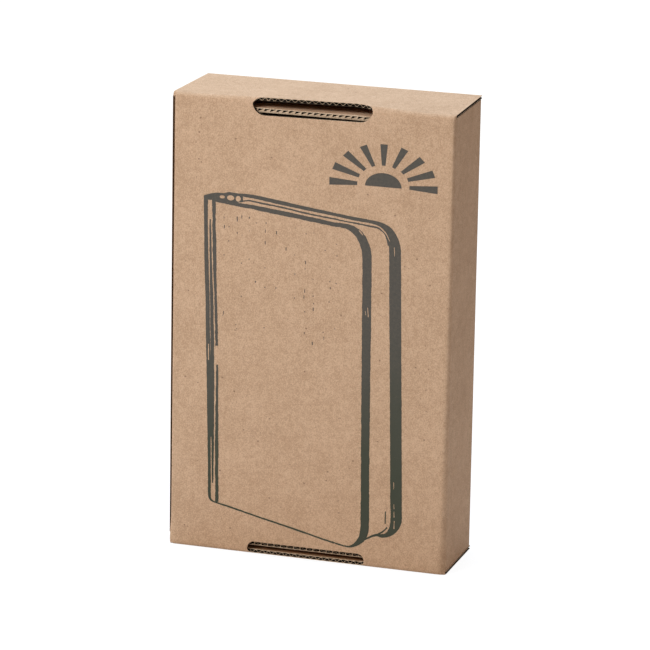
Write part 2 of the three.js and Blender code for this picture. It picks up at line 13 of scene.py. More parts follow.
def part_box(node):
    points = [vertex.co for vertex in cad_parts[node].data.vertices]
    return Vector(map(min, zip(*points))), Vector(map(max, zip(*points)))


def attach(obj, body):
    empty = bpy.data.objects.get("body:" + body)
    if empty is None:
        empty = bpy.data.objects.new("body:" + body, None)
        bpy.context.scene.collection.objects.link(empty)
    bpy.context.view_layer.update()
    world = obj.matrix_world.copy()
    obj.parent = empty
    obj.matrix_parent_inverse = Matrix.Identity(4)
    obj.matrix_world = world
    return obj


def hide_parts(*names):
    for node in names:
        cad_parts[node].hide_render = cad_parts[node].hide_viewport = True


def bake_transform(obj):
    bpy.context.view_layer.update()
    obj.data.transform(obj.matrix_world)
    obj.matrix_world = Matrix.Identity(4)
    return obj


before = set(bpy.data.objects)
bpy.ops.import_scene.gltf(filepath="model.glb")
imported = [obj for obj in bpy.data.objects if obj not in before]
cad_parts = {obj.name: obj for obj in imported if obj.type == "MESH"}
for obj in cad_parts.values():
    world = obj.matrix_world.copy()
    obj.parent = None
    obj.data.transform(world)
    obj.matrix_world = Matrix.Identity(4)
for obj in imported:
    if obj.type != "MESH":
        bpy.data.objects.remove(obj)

MM = 0.001
LEAST_RADIUS = 0.1
LOG = logging.getLogger("boxed_book_lamp")
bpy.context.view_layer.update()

Pair = tuple[float, float]
Point = tuple[float, float, float]
Colour = tuple[float, float, float, float]
Column = Callable[[float], float]
Placing = Callable[[float, float, float], Point]

WHITE: Colour = (1.0, 1.0, 1.0, 1.0)
NOISE_MIDDLE: Pair = (0.3, 0.7)
NOISE_MOST: Pair = (0.2, 0.8)


# Sizes and small sums

def smooth(value: float, low: float, high: float) -> float:
    """Rises smoothly from 0 at low to 1 at high.

    Args:
        value: The value to look up.
        low: Where the rise starts.
        high: Where the rise ends, which may be the lower of the two.

    Returns:
        A share from 0 to 1.
    """
    share = min(1.0, max(0.0, (value - low) / (high - low)))
    return share * share * (3 - 2 * share)


def steps(low: float, high: float, pitch: float) -> list[float]:
    """Even positions from low to high, no further apart than pitch.

    Args:
        low: First position.
        high: Last position.
        pitch: The longest step.

    Returns:
        The positions, both ends included.
    """
    count = max(1, math.ceil((high - low) / pitch))
    return [low + (high - low) * index / count for index in range(count + 1)]


def arc(
    centre: Pair, radii: Pair, first: float, last: float, count: int,
) -> list[Pair]:
    """Points on part of an ellipse.

    Args:
        centre: Its centre.
        radii: Its reach across and up.
        first: The first angle, in degrees.
        last: The last angle.
        count: How many steps.

    Returns:
        The points.
    """
    turns = [math.radians(first + (last - first) * i / count) for i in range(count + 1)]
    return [
        (centre[0] + radii[0] * math.cos(t), centre[1] + radii[1] * math.sin(t)) for t in turns
    ]


def tone(red: int, green: int, blue: int) -> Colour:
    """A colour in the light's own scale from the 0 to 255 values of a screen.

    Args:
        red: Screen value of red.
        green: Screen value of green.
        blue: Screen value of blue.

    Returns:
        The colour as Blender's sockets take it.
    """
    def linear(value: int) -> float:
        share = value / 255
        return share / 12.92 if share <= 0.04045 else ((share + 0.055) / 1.055) ** 2.4
    return (linear(red), linear(green), linear(blue), 1.0)


@dataclass(frozen=True)
class Box:
    """The space that a frame node holds, in millimetres."""

    low: Point
    high: Point

    @classmethod
    def of(cls, node: str) -> "Box":
        """The box of one frame node."""
        low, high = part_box(node)
        return cls(tuple(value / MM for value in low), tuple(value / MM for value in high))


class Body(Enum):
    """The moving bodies of the frame."""

    TRAY = "tray"
    LID = "lid"
    TOP_FLAP = "top_flap"
    BOTTOM_FLAP = "bottom_flap"
    TUCK_FLAP = "tuck_flap"
    LAMP_COVER = "lamp_cover"


class End(Enum):
    """The two ends of the carton, by the way that they face."""

    TOP = 1
    BOTTOM = -1


# Shader graphs

@dataclass(frozen=True)
class Noise:
    """One layer of cloudy noise.

    Attributes:
        size: How large its features are, in millimetres.
        detail: How many finer layers it has.
        rough: How strong the finer layers are.
        twist: How much it is distorted.
        squash: How much its features are pressed together along X, Y and Z.
        shift: How far it is moved along X, Y and Z.
        weight: How much of it is taken where values are added up.
    """

    size: float
    detail: float = 3.0
    rough: float = 0.5
    twist: float = 0.0
    squash: Point = (1.0, 1.0, 1.0)
    shift: Point = (0.0, 0.0, 0.0)
    weight: float = 1.0


@dataclass(frozen=True)
class Flecks:
    """One layer of scattered small dots.

    Attributes:
        spacing: How far apart they may lie, in millimetres.
        radius: The largest dot's radius.
        share: The share of places that hold one.
        squash: How much they are pressed together along X, Y and Z.
        shift: How far they are moved along X, Y and Z.
        weight: How strong they are.
        core: The share of the radius that is full.
        choice: How sharply the places are chosen.
    """

    spacing: float
    radius: float
    share: float
    squash: Point = (1.0, 1.0, 1.0)
    shift: Point = (0.0, 0.0, 0.0)
    weight: float = 1.0
    core: float = 0.45
    choice: float = 0.02


class Wire:
    """One output of a shader node, with arithmetic that adds Math nodes."""

    def __init__(self, graph: "Graph", socket: bpy.types.NodeSocket | None) -> None:
        """Keeps the graph and the socket, which is None for a node without outputs."""
        self.graph = graph
        self.socket = socket

    def math(self, operation: str, *values: "Wire | float") -> "Wire":
        """Adds a Math node with these values as its inputs."""
        inputs = dict(enumerate(values))
        return self.graph.node("ShaderNodeMath", {"operation": operation}, inputs)

    def __add__(self, other: "Wire | float") -> "Wire":
        """This value plus the other."""
        return self.math("ADD", self, other)

    __radd__ = __add__

    def __sub__(self, other: "Wire | float") -> "Wire":
        """This value less the other."""
        return self.math("SUBTRACT", self, other)

    def __rsub__(self, other: "Wire | float") -> "Wire":
        """The other less this value."""
        return self.math("SUBTRACT", other, self)

    def __mul__(self, other: "Wire | float") -> "Wire":
        """This value times the other."""
        return self.math("MULTIPLY", self, other)

    __rmul__ = __mul__

    def __abs__(self) -> "Wire":
        """This value without its sign."""
        return self.math("ABSOLUTE", self)

    def swing(self) -> "Wire":
        """A wave from 0 to 1, with this value as its angle in radians."""
        return self.math("SINE", self) * 0.5 + 0.5

    def blend(self, other: "Wire", share: float = 0.5) -> "Wire":
        """This value and the other, added up by the other's share."""
        return self * (1 - share) + other * share

    def largest(self, other: "Wire | float") -> "Wire":
        """The larger of this value and the other."""
        return self.math("MAXIMUM", self, other)

    def rise(self, low: float, high: float, first: float = 0.0, last: float = 1.0) -> "Wire":
        """Goes smoothly from one value to another while this value goes from low to high.

        Args:
            low: Where the change starts.
            high: Where the change ends.
            first: The value up to low.
            last: The value from high on.

        Returns:
            The changed value.
        """
        inputs = {
            "Value": self, "From Min": low, "From Max": high, "To Min": first, "To Max": last,
        }
        settings = {"interpolation_type": "SMOOTHSTEP"}
        return self.graph.node("ShaderNodeMapRange", settings, inputs)


class Graph:
    """One material or world and the nodes in it."""

    def __init__(self, owner: bpy.types.Material | bpy.types.World) -> None:
        """Empties a material or a world.

        Args:
            owner: What holds the nodes.
        """
        self.owner = owner
        owner.use_nodes = True
        self.tree = owner.node_tree
        self.tree.nodes.clear()

    @classmethod
    def of(cls, name: str) -> "Graph":
        """Makes an empty material of this name."""
        return cls(bpy.data.materials.new(name))

    def node(
        self,
        kind: str,
        settings: Mapping[str, object] | None = None,
        inputs: Mapping[str | int, object] | None = None,
        output: str | int | None = None,
    ) -> Wire:
        """Adds a node, sets it first and then fills or links its inputs.

        Args:
            kind: The node's type.
            settings: Its properties.
            inputs: Values or wires by the socket's name, identifier or number.
            output: The wanted output. Without it, the first one in use.

        Returns:
            The wanted output.
        """
        made = self.tree.nodes.new(kind)
        for name, value in (settings or {}).items():
            setattr(made, name, value)
        for name, value in (inputs or {}).items():
            self._fill(self._socket(made.inputs, name), value)
        if output is None:
            outputs = [socket for socket in made.outputs if socket.enabled]
            return Wire(self, outputs[0] if outputs else None)
        return Wire(self, self._socket(made.outputs, output))

    @staticmethod
    def _socket(sockets: Iterable[bpy.types.NodeSocket], name: str | int) -> bpy.types.NodeSocket:
        """Finds a socket.

        Args:
            sockets: The node's inputs or outputs.
            name: Its number, identifier or name.

        Returns:
            The socket.
        """
        listed = list(sockets)
        if isinstance(name, int):
            return listed[name]
        for socket in listed:
            if socket.identifier == name:
                return socket
        return next(socket for socket in listed if socket.enabled and socket.name == name)

    def _fill(self, socket: bpy.types.NodeSocket, value: object) -> None:
        """Links a wire to a socket, or sets the socket's value.

        Args:
            socket: The input.
            value: A wire, a number or a row of numbers.
        """
        if isinstance(value, Wire):
            self.tree.links.new(value.socket, socket)
        else:
            socket.default_value = value

    def place(self, scale: Point = (1.0, 1.0, 1.0), shift: Point = (0.0, 0.0, 0.0)) -> Wire:
        """The place on the object in millimetres, stretched and shifted.

        Args:
            scale: Factors along X, Y and Z.
            shift: Added afterwards, along X, Y and Z.

        Returns:
            The place.
        """
        spot = self.node("ShaderNodeTexCoord", output="Object")
        factors = tuple(value / MM for value in scale)
        inputs = {0: spot, 1: factors, 2: shift}
        return self.node("ShaderNodeVectorMath", {"operation": "MULTIPLY_ADD"}, inputs)

    def axes(self) -> tuple[Wire, Wire, Wire]:
        """The place along X, Y and Z, in millimetres."""
        spot = self.place()
        split = self.node("ShaderNodeSeparateXYZ", inputs={0: spot}, output=0)
        node = split.socket.node
        return tuple(Wire(self, node.outputs[index]) for index in range(3))

    def noise(self, layer: Noise) -> Wire:
        """Adds a layer of noise.

        Args:
            layer: Its values.

        Returns:
            A value around 0.5.
        """
        inputs = {
            "Vector": self.place(layer.squash, layer.shift), "Scale": 1 / layer.size,
            "Detail": layer.detail, "Roughness": layer.rough, "Distortion": layer.twist,
        }
        return self.node("ShaderNodeTexNoise", {"noise_dimensions": "3D"}, inputs, "Fac")

    def weighed(self, *layers: Noise) -> Wire:
        """Adds layers of noise up by their weights."""
        first, *others = (self.noise(layer) * layer.weight for layer in layers)
        return sum(others, first)

    def flecks(self, layer: Flecks) -> Wire:
        """Adds a layer of scattered dots.

        Args:
            layer: Its values.

        Returns:
            The layer's weight on a dot and 0 beside it.
        """
        spot = self.place(layer.squash, layer.shift)
        near = self.cells(spot, 1 / layer.spacing)
        cell = Wire(self, near.socket.node.outputs["Color"])
        pick = self.node("ShaderNodeSeparateColor", inputs={0: cell})
        chosen = pick.rise(1 - layer.share, 1 - layer.share + layer.choice)
        reach = layer.radius / layer.spacing
        return near.rise(reach * layer.core, reach, 1.0, 0.0) * chosen * layer.weight

    def cells(self, spot: Wire, scale: float) -> Wire:
        """How far a place is from the middle of its uneven cell, with so many to a millimetre."""
        inputs = {"Vector": spot, "Scale": scale, "Randomness": 1.0}
        return self.node("ShaderNodeTexVoronoi", {"feature": "F1"}, inputs, "Distance")

    def mix(self, share: Wire | float, first: Wire | Colour, second: Wire | Colour) -> Wire:
        """Blends two colours, by the share of the second."""
        inputs = {"Factor_Float": share, "A_Color": first, "B_Color": second}
        return self.node("ShaderNodeMix", {"data_type": "RGBA"}, inputs, "Result_Color")

    def bump(self, height: Wire, strength: float, reach: float) -> Wire:
        """Turns a height of 0 to 1 into a bent surface direction, with its reach in millimetres."""
        inputs = {"Height": height, "Strength": strength, "Distance": reach * MM}
        return self.node("ShaderNodeBump", inputs=inputs)

    def finish(self, surface: Mapping[str, object]) -> bpy.types.Material:
        """Ends the graph in a Principled surface.

        Args:
            surface: The surface's inputs.

        Returns:
            The material.
        """
        shader = self.node("ShaderNodeBsdfPrincipled", inputs=surface)
        self.node("ShaderNodeOutputMaterial", inputs={"Surface": shader})
        return self.owner


# Finishes

@dataclass(frozen=True)
class KraftPaper:
    """Brown liner paper: mottled, with fine fibres, sparse dark specks and the flutes behind it."""

    name: str
    light: Colour = tone(205, 169, 137)
    dark: Colour = tone(176, 141, 110)
    fibre: Colour = tone(216, 188, 160)
    speck: Colour = tone(92, 64, 44)
    worn: Colour = tone(214, 183, 152)
    mottle: tuple[Noise, ...] = (
        Noise(16.0, 3.0, 0.55, weight=0.25),
        Noise(2.6, 4.0, 0.65, 0.4, weight=0.4),
        Noise(0.8, 3.0, 0.75, squash=(1.5, 1.5, 1.0), weight=0.6),
        Noise(0.42, 2.0, 0.6, shift=(9.0, 4.0, 2.0), weight=0.9),
    )
    mottle_range: Pair = (0.86, 1.29)
    hairs: Noise = Noise(0.9, 4.0, 0.7, 0.8, (2.6, 2.6, 0.6), (31.0, 7.0, 3.0))
    crossed: Noise = Noise(0.9, 4.0, 0.7, 0.8, (0.6, 0.6, 2.6), (5.0, 41.0, 9.0))
    hair_range: Pair = (0.58, 0.74)
    hair_share: float = 0.45
    fine_specks: Flecks = Flecks(2.5, 0.34, 0.4, (1.2, 1.2, 0.9), (3.0, 2.0, 57.0), 0.4)
    large_specks: Flecks = Flecks(4.6, 0.5, 0.35, (0.9, 0.9, 1.1), (83.0, 13.0, 1.0), 0.6)
    worn_side: Pair = (57.2, 58.9)
    worn_face: Pair = (17.9, 19.6)
    worn_end: Pair = (93.2, 94.9)
    middle_height: float = 95.0
    rubbing: Noise = Noise(2.2, 4.0, 0.7)
    rubbing_range: Pair = (0.38, 0.66)
    worn_share: float = 0.42
    felt: Noise = Noise(0.55, 4.0, 0.7, weight=0.4)
    slack: Noise = Noise(34.0, 2.0, 0.5, weight=4.0)
    flute_pitch: float = 2.8
    flute_depth: float = 0.035
    relief_reach: float = 0.1
    sheen: Noise = Noise(3.0, 3.0, 0.6)
    roughness: Pair = (0.72, 0.84)

    def colour(self, graph: Graph) -> Wire:
        """The paper's colour at each place.

        Args:
            graph: The graph that it is worked out in.

        Returns:
            The colour.
        """
        shade = graph.weighed(*self.mottle).rise(*self.mottle_range)
        base = graph.mix(shade, self.dark, self.light)
        pale = graph.noise(self.hairs).largest(graph.noise(self.crossed)).rise(*self.hair_range)
        base = graph.mix(pale * self.hair_share, base, self.fibre)
        specks = graph.flecks(self.fine_specks).largest(graph.flecks(self.large_specks))
        base = graph.mix(specks, base, self.speck)
        return graph.mix(self.wear(graph), base, self.worn)

    def wear(self, graph: Graph) -> Wire:
        """How much the paper is rubbed pale along the carton's folded edges.

        Args:
            graph: The graph that it is worked out in.

        Returns:
            A share from 0 to 1.
        """
        across, through, upright = graph.axes()
        side = abs(across).rise(*self.worn_side)
        face = abs(through).rise(*self.worn_face)
        end = abs(upright - self.middle_height).rise(*self.worn_end)
        edge = (side * face).largest(face * end).largest(side * end)
        patchy = graph.noise(self.rubbing).rise(*self.rubbing_range)
        return edge * patchy * self.worn_share

    def relief(self, graph: Graph) -> Wire:
        """The paper's surface: felt-like fibres, and the flutes faintly showing through.

        Args:
            graph: The graph that it is worked out in.

        Returns:
            The bent surface direction.
        """
        mesh_value = {"attribute_name": "across_flutes"}
        across = graph.node("ShaderNodeAttribute", mesh_value, output="Fac")
        ridge = (across * (math.tau / self.flute_pitch)).swing()
        flutes = ridge * (self.flute_depth / self.relief_reach)
        height = graph.weighed(self.felt) + flutes + graph.weighed(self.slack)
        return graph.bump(height, 1.0, self.relief_reach)

    def make(self) -> bpy.types.Material:
        """Builds the material."""
        graph = Graph.of(self.name)
        return graph.finish({
            "Base Color": self.colour(graph),
            "Roughness": graph.noise(self.sheen).rise(*NOISE_MOST, *self.roughness),
            "Normal": self.relief(graph),
            "Specular IOR Level": 0.1,
        })


@dataclass(frozen=True)
class FlutePaper:
    """Bare paper in the board: fluffy pale cut edges, or dark painted shade deep in the flutes and
    on raw edges in shadow.
    """

    name: str
    light: Colour
    dark: Colour
    mottle: Noise = Noise(0.7, 4.0, 0.7)
    felt: Noise = Noise(0.3, 3.0, 0.7)
    roughness: Pair = (0.88, 0.98)

    def make(self) -> bpy.types.Material:
        """Builds the material."""
        graph = Graph.of(self.name)
        shade = graph.noise(self.mottle).rise(*NOISE_MIDDLE)
        felt = graph.noise(self.felt)
        return graph.finish({
            "Base Color": graph.mix(shade, self.dark, self.light),
            "Roughness": felt.rise(*NOISE_MOST, *self.roughness),
            "Normal": graph.bump(felt, 0.6, 0.12),
            "Specular IOR Level": 0.15,
        })


@dataclass(frozen=True)
class PrintInk:
    """Dark grey ink on kraft paper, thin where the paper's grain kept it off."""

    name: str
    ink: Colour = tone(72, 67, 59)
    thin: Colour = tone(88, 80, 70)
    deep: Colour = tone(53, 57, 41)
    cover: Noise = Noise(1.1, 4.0, 0.7)
    cover_range: Pair = (0.3, 0.72)
    deep_range: Pair = (30.0, 112.0)
    deep_drift: Noise = Noise(26.0, 2.0, 0.5, weight=50.0)
    deep_share: float = 0.85
    pinholes: Noise = Noise(0.5, 4.0, 0.75)
    pinhole_range: Pair = (0.42, 0.5)
    pinholes_closed: float = 0.28
    missing: float = 0.1
    felt: Noise = Noise(0.55, 4.0, 0.7)
    roughness: Pair = (0.66, 0.8)

    def make(self) -> bpy.types.Material:
        """Builds the material."""
        graph = Graph.of(self.name)
        paper = KraftPaper("kraft_print").colour(graph)
        cover = graph.noise(self.cover).rise(*self.cover_range)
        # The ink turns darker and greener towards the bottom of the front.
        height = graph.axes()[2] + graph.weighed(self.deep_drift) - self.deep_drift.weight / 2
        strong = height.rise(*self.deep_range, 1.0, 0.0) * self.deep_share
        ink = graph.mix(strong, graph.mix(cover, self.ink, self.thin), self.deep)
        closed = self.pinholes_closed * (1 - self.missing)
        edges = (edge + closed for edge in self.pinhole_range)
        return graph.finish({
            "Base Color": graph.mix(graph.noise(self.pinholes).rise(*edges), ink, paper),
            "Roughness": cover.rise(0.0, 1.0, *self.roughness),
            "Normal": graph.bump(graph.noise(self.felt), 0.4, 0.04),
            "Specular IOR Level": 0.32,
        })


@dataclass(frozen=True)
class WoodVeneer:
    """Oiled veneer: long rings, fine pores and a soft gloss along the grain."""

    name: str = "lamp_veneer"
    pale: Colour = tone(201, 158, 112)
    deep: Colour = tone(158, 110, 70)
    pore: Colour = tone(98, 62, 38)
    flow: Noise = Noise(9.0, 3.0, 0.55, 0.6, squash=(1.0, 1.0, 0.07))
    ring_turns: float = 46.0
    fine: Noise = Noise(1.4, 4.0, 0.6, squash=(4.0, 4.0, 0.22))
    fine_share: float = 0.55
    shade_range: Pair = (0.18, 0.82)
    pores: Flecks = Flecks(1.1, 0.36, 0.5, squash=(2.6, 2.6, 0.16))
    pore_share: float = 0.55
    roughness: Pair = (0.42, 0.58)

    def make(self) -> bpy.types.Material:
        """Builds the material."""
        graph = Graph.of(self.name)
        rings = (graph.noise(self.flow) * self.ring_turns).swing()
        fine = graph.noise(self.fine)
        shade = rings.blend(fine, self.fine_share).rise(*self.shade_range)
        base = graph.mix(shade, self.deep, self.pale)
        pores = graph.flecks(self.pores)
        return graph.finish({
            "Base Color": graph.mix(pores * self.pore_share, base, self.pore),
            "Roughness": fine.rise(*NOISE_MOST, *self.roughness),
            "Normal": graph.bump(fine.blend(1 - pores), 0.35, 0.08),
            "Coat Weight": 0.12,
            "Coat Roughness": 0.35,
        })


@dataclass(frozen=True)
class Hide:
    """Bonded leather with a pebbled grain."""

    name: str = "hinge_hide"
    raised: Colour = tone(126, 82, 52)
    sunk: Colour = tone(78, 48, 30)
    pebble_scale: float = 1.5
    pebble_range: Pair = (0.05, 0.75)
    blotches: Noise = Noise(6.0, 3.0, 0.6)
    blotch_share: float = 0.4
    roughness: Pair = (0.62, 0.46)

    def make(self) -> bpy.types.Material:
        """Builds the material."""
        graph = Graph.of(self.name)
        cells = graph.cells(graph.place(), self.pebble_scale)
        pebble = cells.rise(*self.pebble_range, 1.0, 0.0)
        shade = pebble.blend(graph.noise(self.blotches), self.blotch_share)
        return graph.finish({
            "Base Color": graph.mix(shade, self.sunk, self.raised),
            "Roughness": pebble.rise(0.0, 1.0, *self.roughness),
            "Normal": graph.bump(pebble, 0.5, 0.1),
        })


@dataclass(frozen=True)
class LampPaper:
    """White spun-fibre paper: tangled pale fibres and soft cloudiness."""

    name: str = "lamp_paper"
    pale: Colour = tone(247, 244, 236)
    shade: Colour = tone(226, 221, 209)
    clouds: Noise = Noise(7.0, 4.0, 0.6)
    tangle: Noise = Noise(0.8, 5.0, 0.7, 2.5, squash=(1.0, 1.0, 0.5))
    roughness: Pair = (0.7, 0.86)

    def make(self) -> bpy.types.Material:
        """Builds the material."""
        graph = Graph.of(self.name)
        tangle = graph.noise(self.tangle)
        cloudy = graph.noise(self.clouds).blend(tangle).rise(*NOISE_MIDDLE)
        return graph.finish({
            "Base Color": graph.mix(cloudy, self.shade, self.pale),
            "Roughness": tangle.rise(*NOISE_MOST, *self.roughness),
            "Normal": graph.bump(tangle, 0.35, 0.05),
        })


@dataclass(frozen=True)
class Moulding:
    """A moulded, cast, sprayed or drawn surface with a fine texture and slight unevenness.

    Attributes:
        name: The material's name.
        light: Its lighter colour.
        dark: Its darker colour.
        grain: The size of its texture, in millimetres.
        depth: The height of its texture.
        smoothest: Its lowest roughness.
        roughest: Its highest roughness.
        metal: 1 for a metal.
        patch: How much larger than the texture its patches are.
        gloss_range: The texture's values between which the roughness changes.
    """

    name: str
    light: Colour
    dark: Colour
    grain: float = 0.4
    depth: float = 0.02
    smoothest: float = 0.4
    roughest: float = 0.55
    metal: float = 0.0
    patch: float = 14.0
    gloss_range: Pair = (0.25, 0.75)

    def make(self) -> bpy.types.Material:
        """Builds the material."""
        graph = Graph.of(self.name)
        texture = graph.noise(Noise(self.grain, 3.0, 0.6))
        patches = graph.noise(Noise(self.grain * self.patch, 2.0, 0.5))
        shade = texture.blend(patches).rise(*NOISE_MIDDLE)
        return graph.finish({
            "Base Color": graph.mix(shade, self.dark, self.light),
            "Roughness": texture.rise(*self.gloss_range, self.smoothest, self.roughest),
            "Normal": graph.bump(texture, 0.5, self.depth),
            "Metallic": self.metal,
        })


class Finishes:
    """Every material of the set, each made once."""

    def __init__(self) -> None:
        """Builds the materials."""
        self.outside = KraftPaper("kraft_outside").make()
        # The inner liner is a darker kraft, darkened further as painted shade where it shows in the
        # finger slots.
        self.inside = KraftPaper(
            "kraft_inside", tone(172, 130, 94), tone(142, 103, 71), flute_depth=0.02,
        ).make()
        self.cut_edge = FlutePaper("cut_edge", tone(218, 191, 161), tone(186, 156, 125)).make()
        # A dark copy of the flute paper: painted shade deep in the flutes and on raw edges that lie
        # in shadow.
        self.painted_shade = FlutePaper("painted_flute_shade", tone(56, 44, 31), tone(34, 27, 19)).make()
        # A darker copy of the flute paper: painted shade on the tray's raw edges, which lie in
        # shadow behind the front's fold.
        self.shaded = FlutePaper("shaded_edge", tone(136, 98, 68), tone(100, 70, 47)).make()
        self.ink = PrintInk("print_ink").make()
        streaks = Noise(0.5, 4.0, 0.75, squash=(1.6, 1.0, 0.3))
        self.rubbed = PrintInk("rubbed_ink", pinholes=streaks, missing=0.5).make()
        self.veneer = WoodVeneer().make()
        self.hide = Hide().make()
        self.paper = LampPaper().make()
        self.board = Moulding(
            "end_paper", tone(228, 219, 200), tone(206, 196, 176), 0.9, 0.05, 0.75, 0.9,
        ).make()
        self.diffuser = Moulding(
            "frosted_strip", tone(246, 243, 234), tone(236, 232, 221), 0.3, 0.01, 0.34, 0.46,
        ).make()
        self.cap = Moulding("cap_plastic", tone(229, 222, 209), tone(214, 206, 191)).make()
        self.button = Moulding("button_plastic", tone(62, 59, 56), tone(44, 42, 40)).make()
        self.circuit = Moulding(
            "white_solder_mask", tone(233, 233, 228), tone(214, 215, 209), 0.6, 0.01, 0.3, 0.45,
        ).make()
        self.phosphor = Moulding(
            "light_chip_gel", tone(246, 214, 110), tone(226, 184, 78), 0.5, 0.01, 0.25, 0.4,
        ).make()
        self.steel = Moulding(
            "plated_steel", tone(196, 198, 201), tone(166, 168, 172), 0.25, 0.01, 0.24, 0.4, 1.0,
        ).make()
        self.foil = Moulding(
            "battery_wrap", tone(172, 181, 190), tone(136, 146, 156), 1.1, 0.05, 0.32, 0.5, 0.6,
        ).make()
        self.sleeve = Moulding("wire_sleeve", tone(186, 54, 46), tone(150, 36, 30)).make()


# Meshes

class Pen:
    """Collects the points and faces of one piece, in millimetres."""

    def __init__(self) -> None:
        """Starts with nothing drawn."""
        self.points: list[Point] = []
        self.faces: list[tuple[int, ...]] = []
        self.slots: list[int] = []
        self.across: list[float] = []

    def point(self, spot: Point, across: float = 0.0) -> int:
        """Adds a point.

        Args:
            spot: Its place.
            across: Its place across the flutes.

        Returns:
            Its number.
        """
        self.points.append(tuple(spot))
        self.across.append(across)
        return len(self.points) - 1

    def face(self, corners: Sequence[int], slot: int = 0) -> None:
        """Adds a face, unless it has fewer than three different corners.

        Args:
            corners: Numbers of its points.
            slot: The material's number.
        """
        if len(set(corners)) == len(corners):
            self.faces.append(tuple(corners))
            self.slots.append(slot)

    def slab(
        self, outer: Sequence[Sequence[Point]], inner: Sequence[Sequence[Point]],
        across: Sequence[float], slots: tuple[int, int, int],
    ) -> None:
        """Adds a closed sheet between two grids.

        Args:
            outer: Columns of points on one side.
            inner: The same columns on the other side.
            across: Each column's place across the flutes.
            slots: Material numbers of the two sides and of the edges.
        """
        front = [[self.point(p, a) for p in column] for column, a in zip(outer, across)]
        rear = [[self.point(p, a) for p in column] for column, a in zip(inner, across)]
        last_column, last_row = len(front) - 1, len(front[0]) - 1
        for c in range(last_column):
            for r in range(last_row):
                for grid, slot in ((front, slots[0]), (rear, slots[1])):
                    this, that = grid[c], grid[c + 1]
                    self.face((this[r], that[r], that[r + 1], this[r + 1]), slot)
            for r in (0, last_row):
                self.face((front[c][r], front[c + 1][r], rear[c + 1][r], rear[c][r]), slots[2])
        for r in range(last_row):
            for c in (0, last_column):
                self.face((front[c][r], front[c][r + 1], rear[c][r + 1], rear[c][r]), slots[2])

    def prism(
        self, outline: Sequence[Pair], low: float, high: float,
        lay: Callable[[float, float, float], Point], slot: int = 0,
    ) -> None:
        """Adds an outline pulled from one level to another.

        Args:
            outline: The outline's points, in order.
            low: The first level.
            high: The last level.
            lay: Turns the outline's two values and a level into a place.
            slot: The material's number.
        """
        ends = [[self.point(lay(a, b, level)) for a, b in outline] for level in (low, high)]
        count = len(outline)
        for index in range(count):
            after = (index + 1) % count
            self.face((ends[0][index], ends[0][after], ends[1][after], ends[1][index]), slot)
        self.face(ends[0], slot)
        self.face(ends[1], slot)

    def make(
        self, name: str, materials: Sequence[bpy.types.Material],
        bevel: float = 0.0, sharp: float = 35.0,
    ) -> bpy.types.Object:
        """Turns what is drawn into an object.

        Args:
            name: The piece's name.
            materials: Its materials, by slot.
            bevel: How far its edges are eased, in millimetres.
            sharp: The angle in degrees over which an edge stays sharp.

        Returns:
            The object, in its place.
        """
        mesh = bpy.data.meshes.new(name)
        scaled = [tuple(value * MM for value in spot) for spot in self.points]
        mesh.from_pydata(scaled, [], self.faces)
        for material in materials:
            mesh.materials.append(material)
        mesh.polygons.foreach_set("material_index", self.slots)
        values = mesh.attributes.new("across_flutes", "FLOAT", "POINT")
        values.data.foreach_set("value", self.across)
        shape = bmesh.new()
        shape.from_mesh(mesh)
        bmesh.ops.recalc_face_normals(shape, faces=shape.faces)
        if bevel:
            limit = math.radians(sharp)
            rims = [edge for edge in shape.edges if edge.calc_face_angle(0) > limit]
            bmesh.ops.bevel(
                shape, geom=rims, offset=bevel * MM, segments=3, profile=0.5,
                affect="EDGES", clamp_overlap=True,
            )
        for polygon in shape.faces:
            polygon.smooth = True
        for edge in shape.edges:
            edge.smooth = edge.calc_face_angle(0) < math.radians(sharp)
        shape.to_mesh(mesh)
        shape.free()
        made = bpy.data.objects.new(name, mesh)
        bpy.context.scene.collection.objects.link(made)
        return made


class Skin(IntEnum):
    """The carton's materials, by their places in the list of each piece."""

    OUTSIDE = 0
    INSIDE = 1
    CUT = 2
    # Painted shade inside the flutes and on raw edges that lie in shadow
    PAINTED_SHADE = 3
    # Painted shade on the tray's raw edges, which lie in shadow behind the front's fold
    SHADED = 4


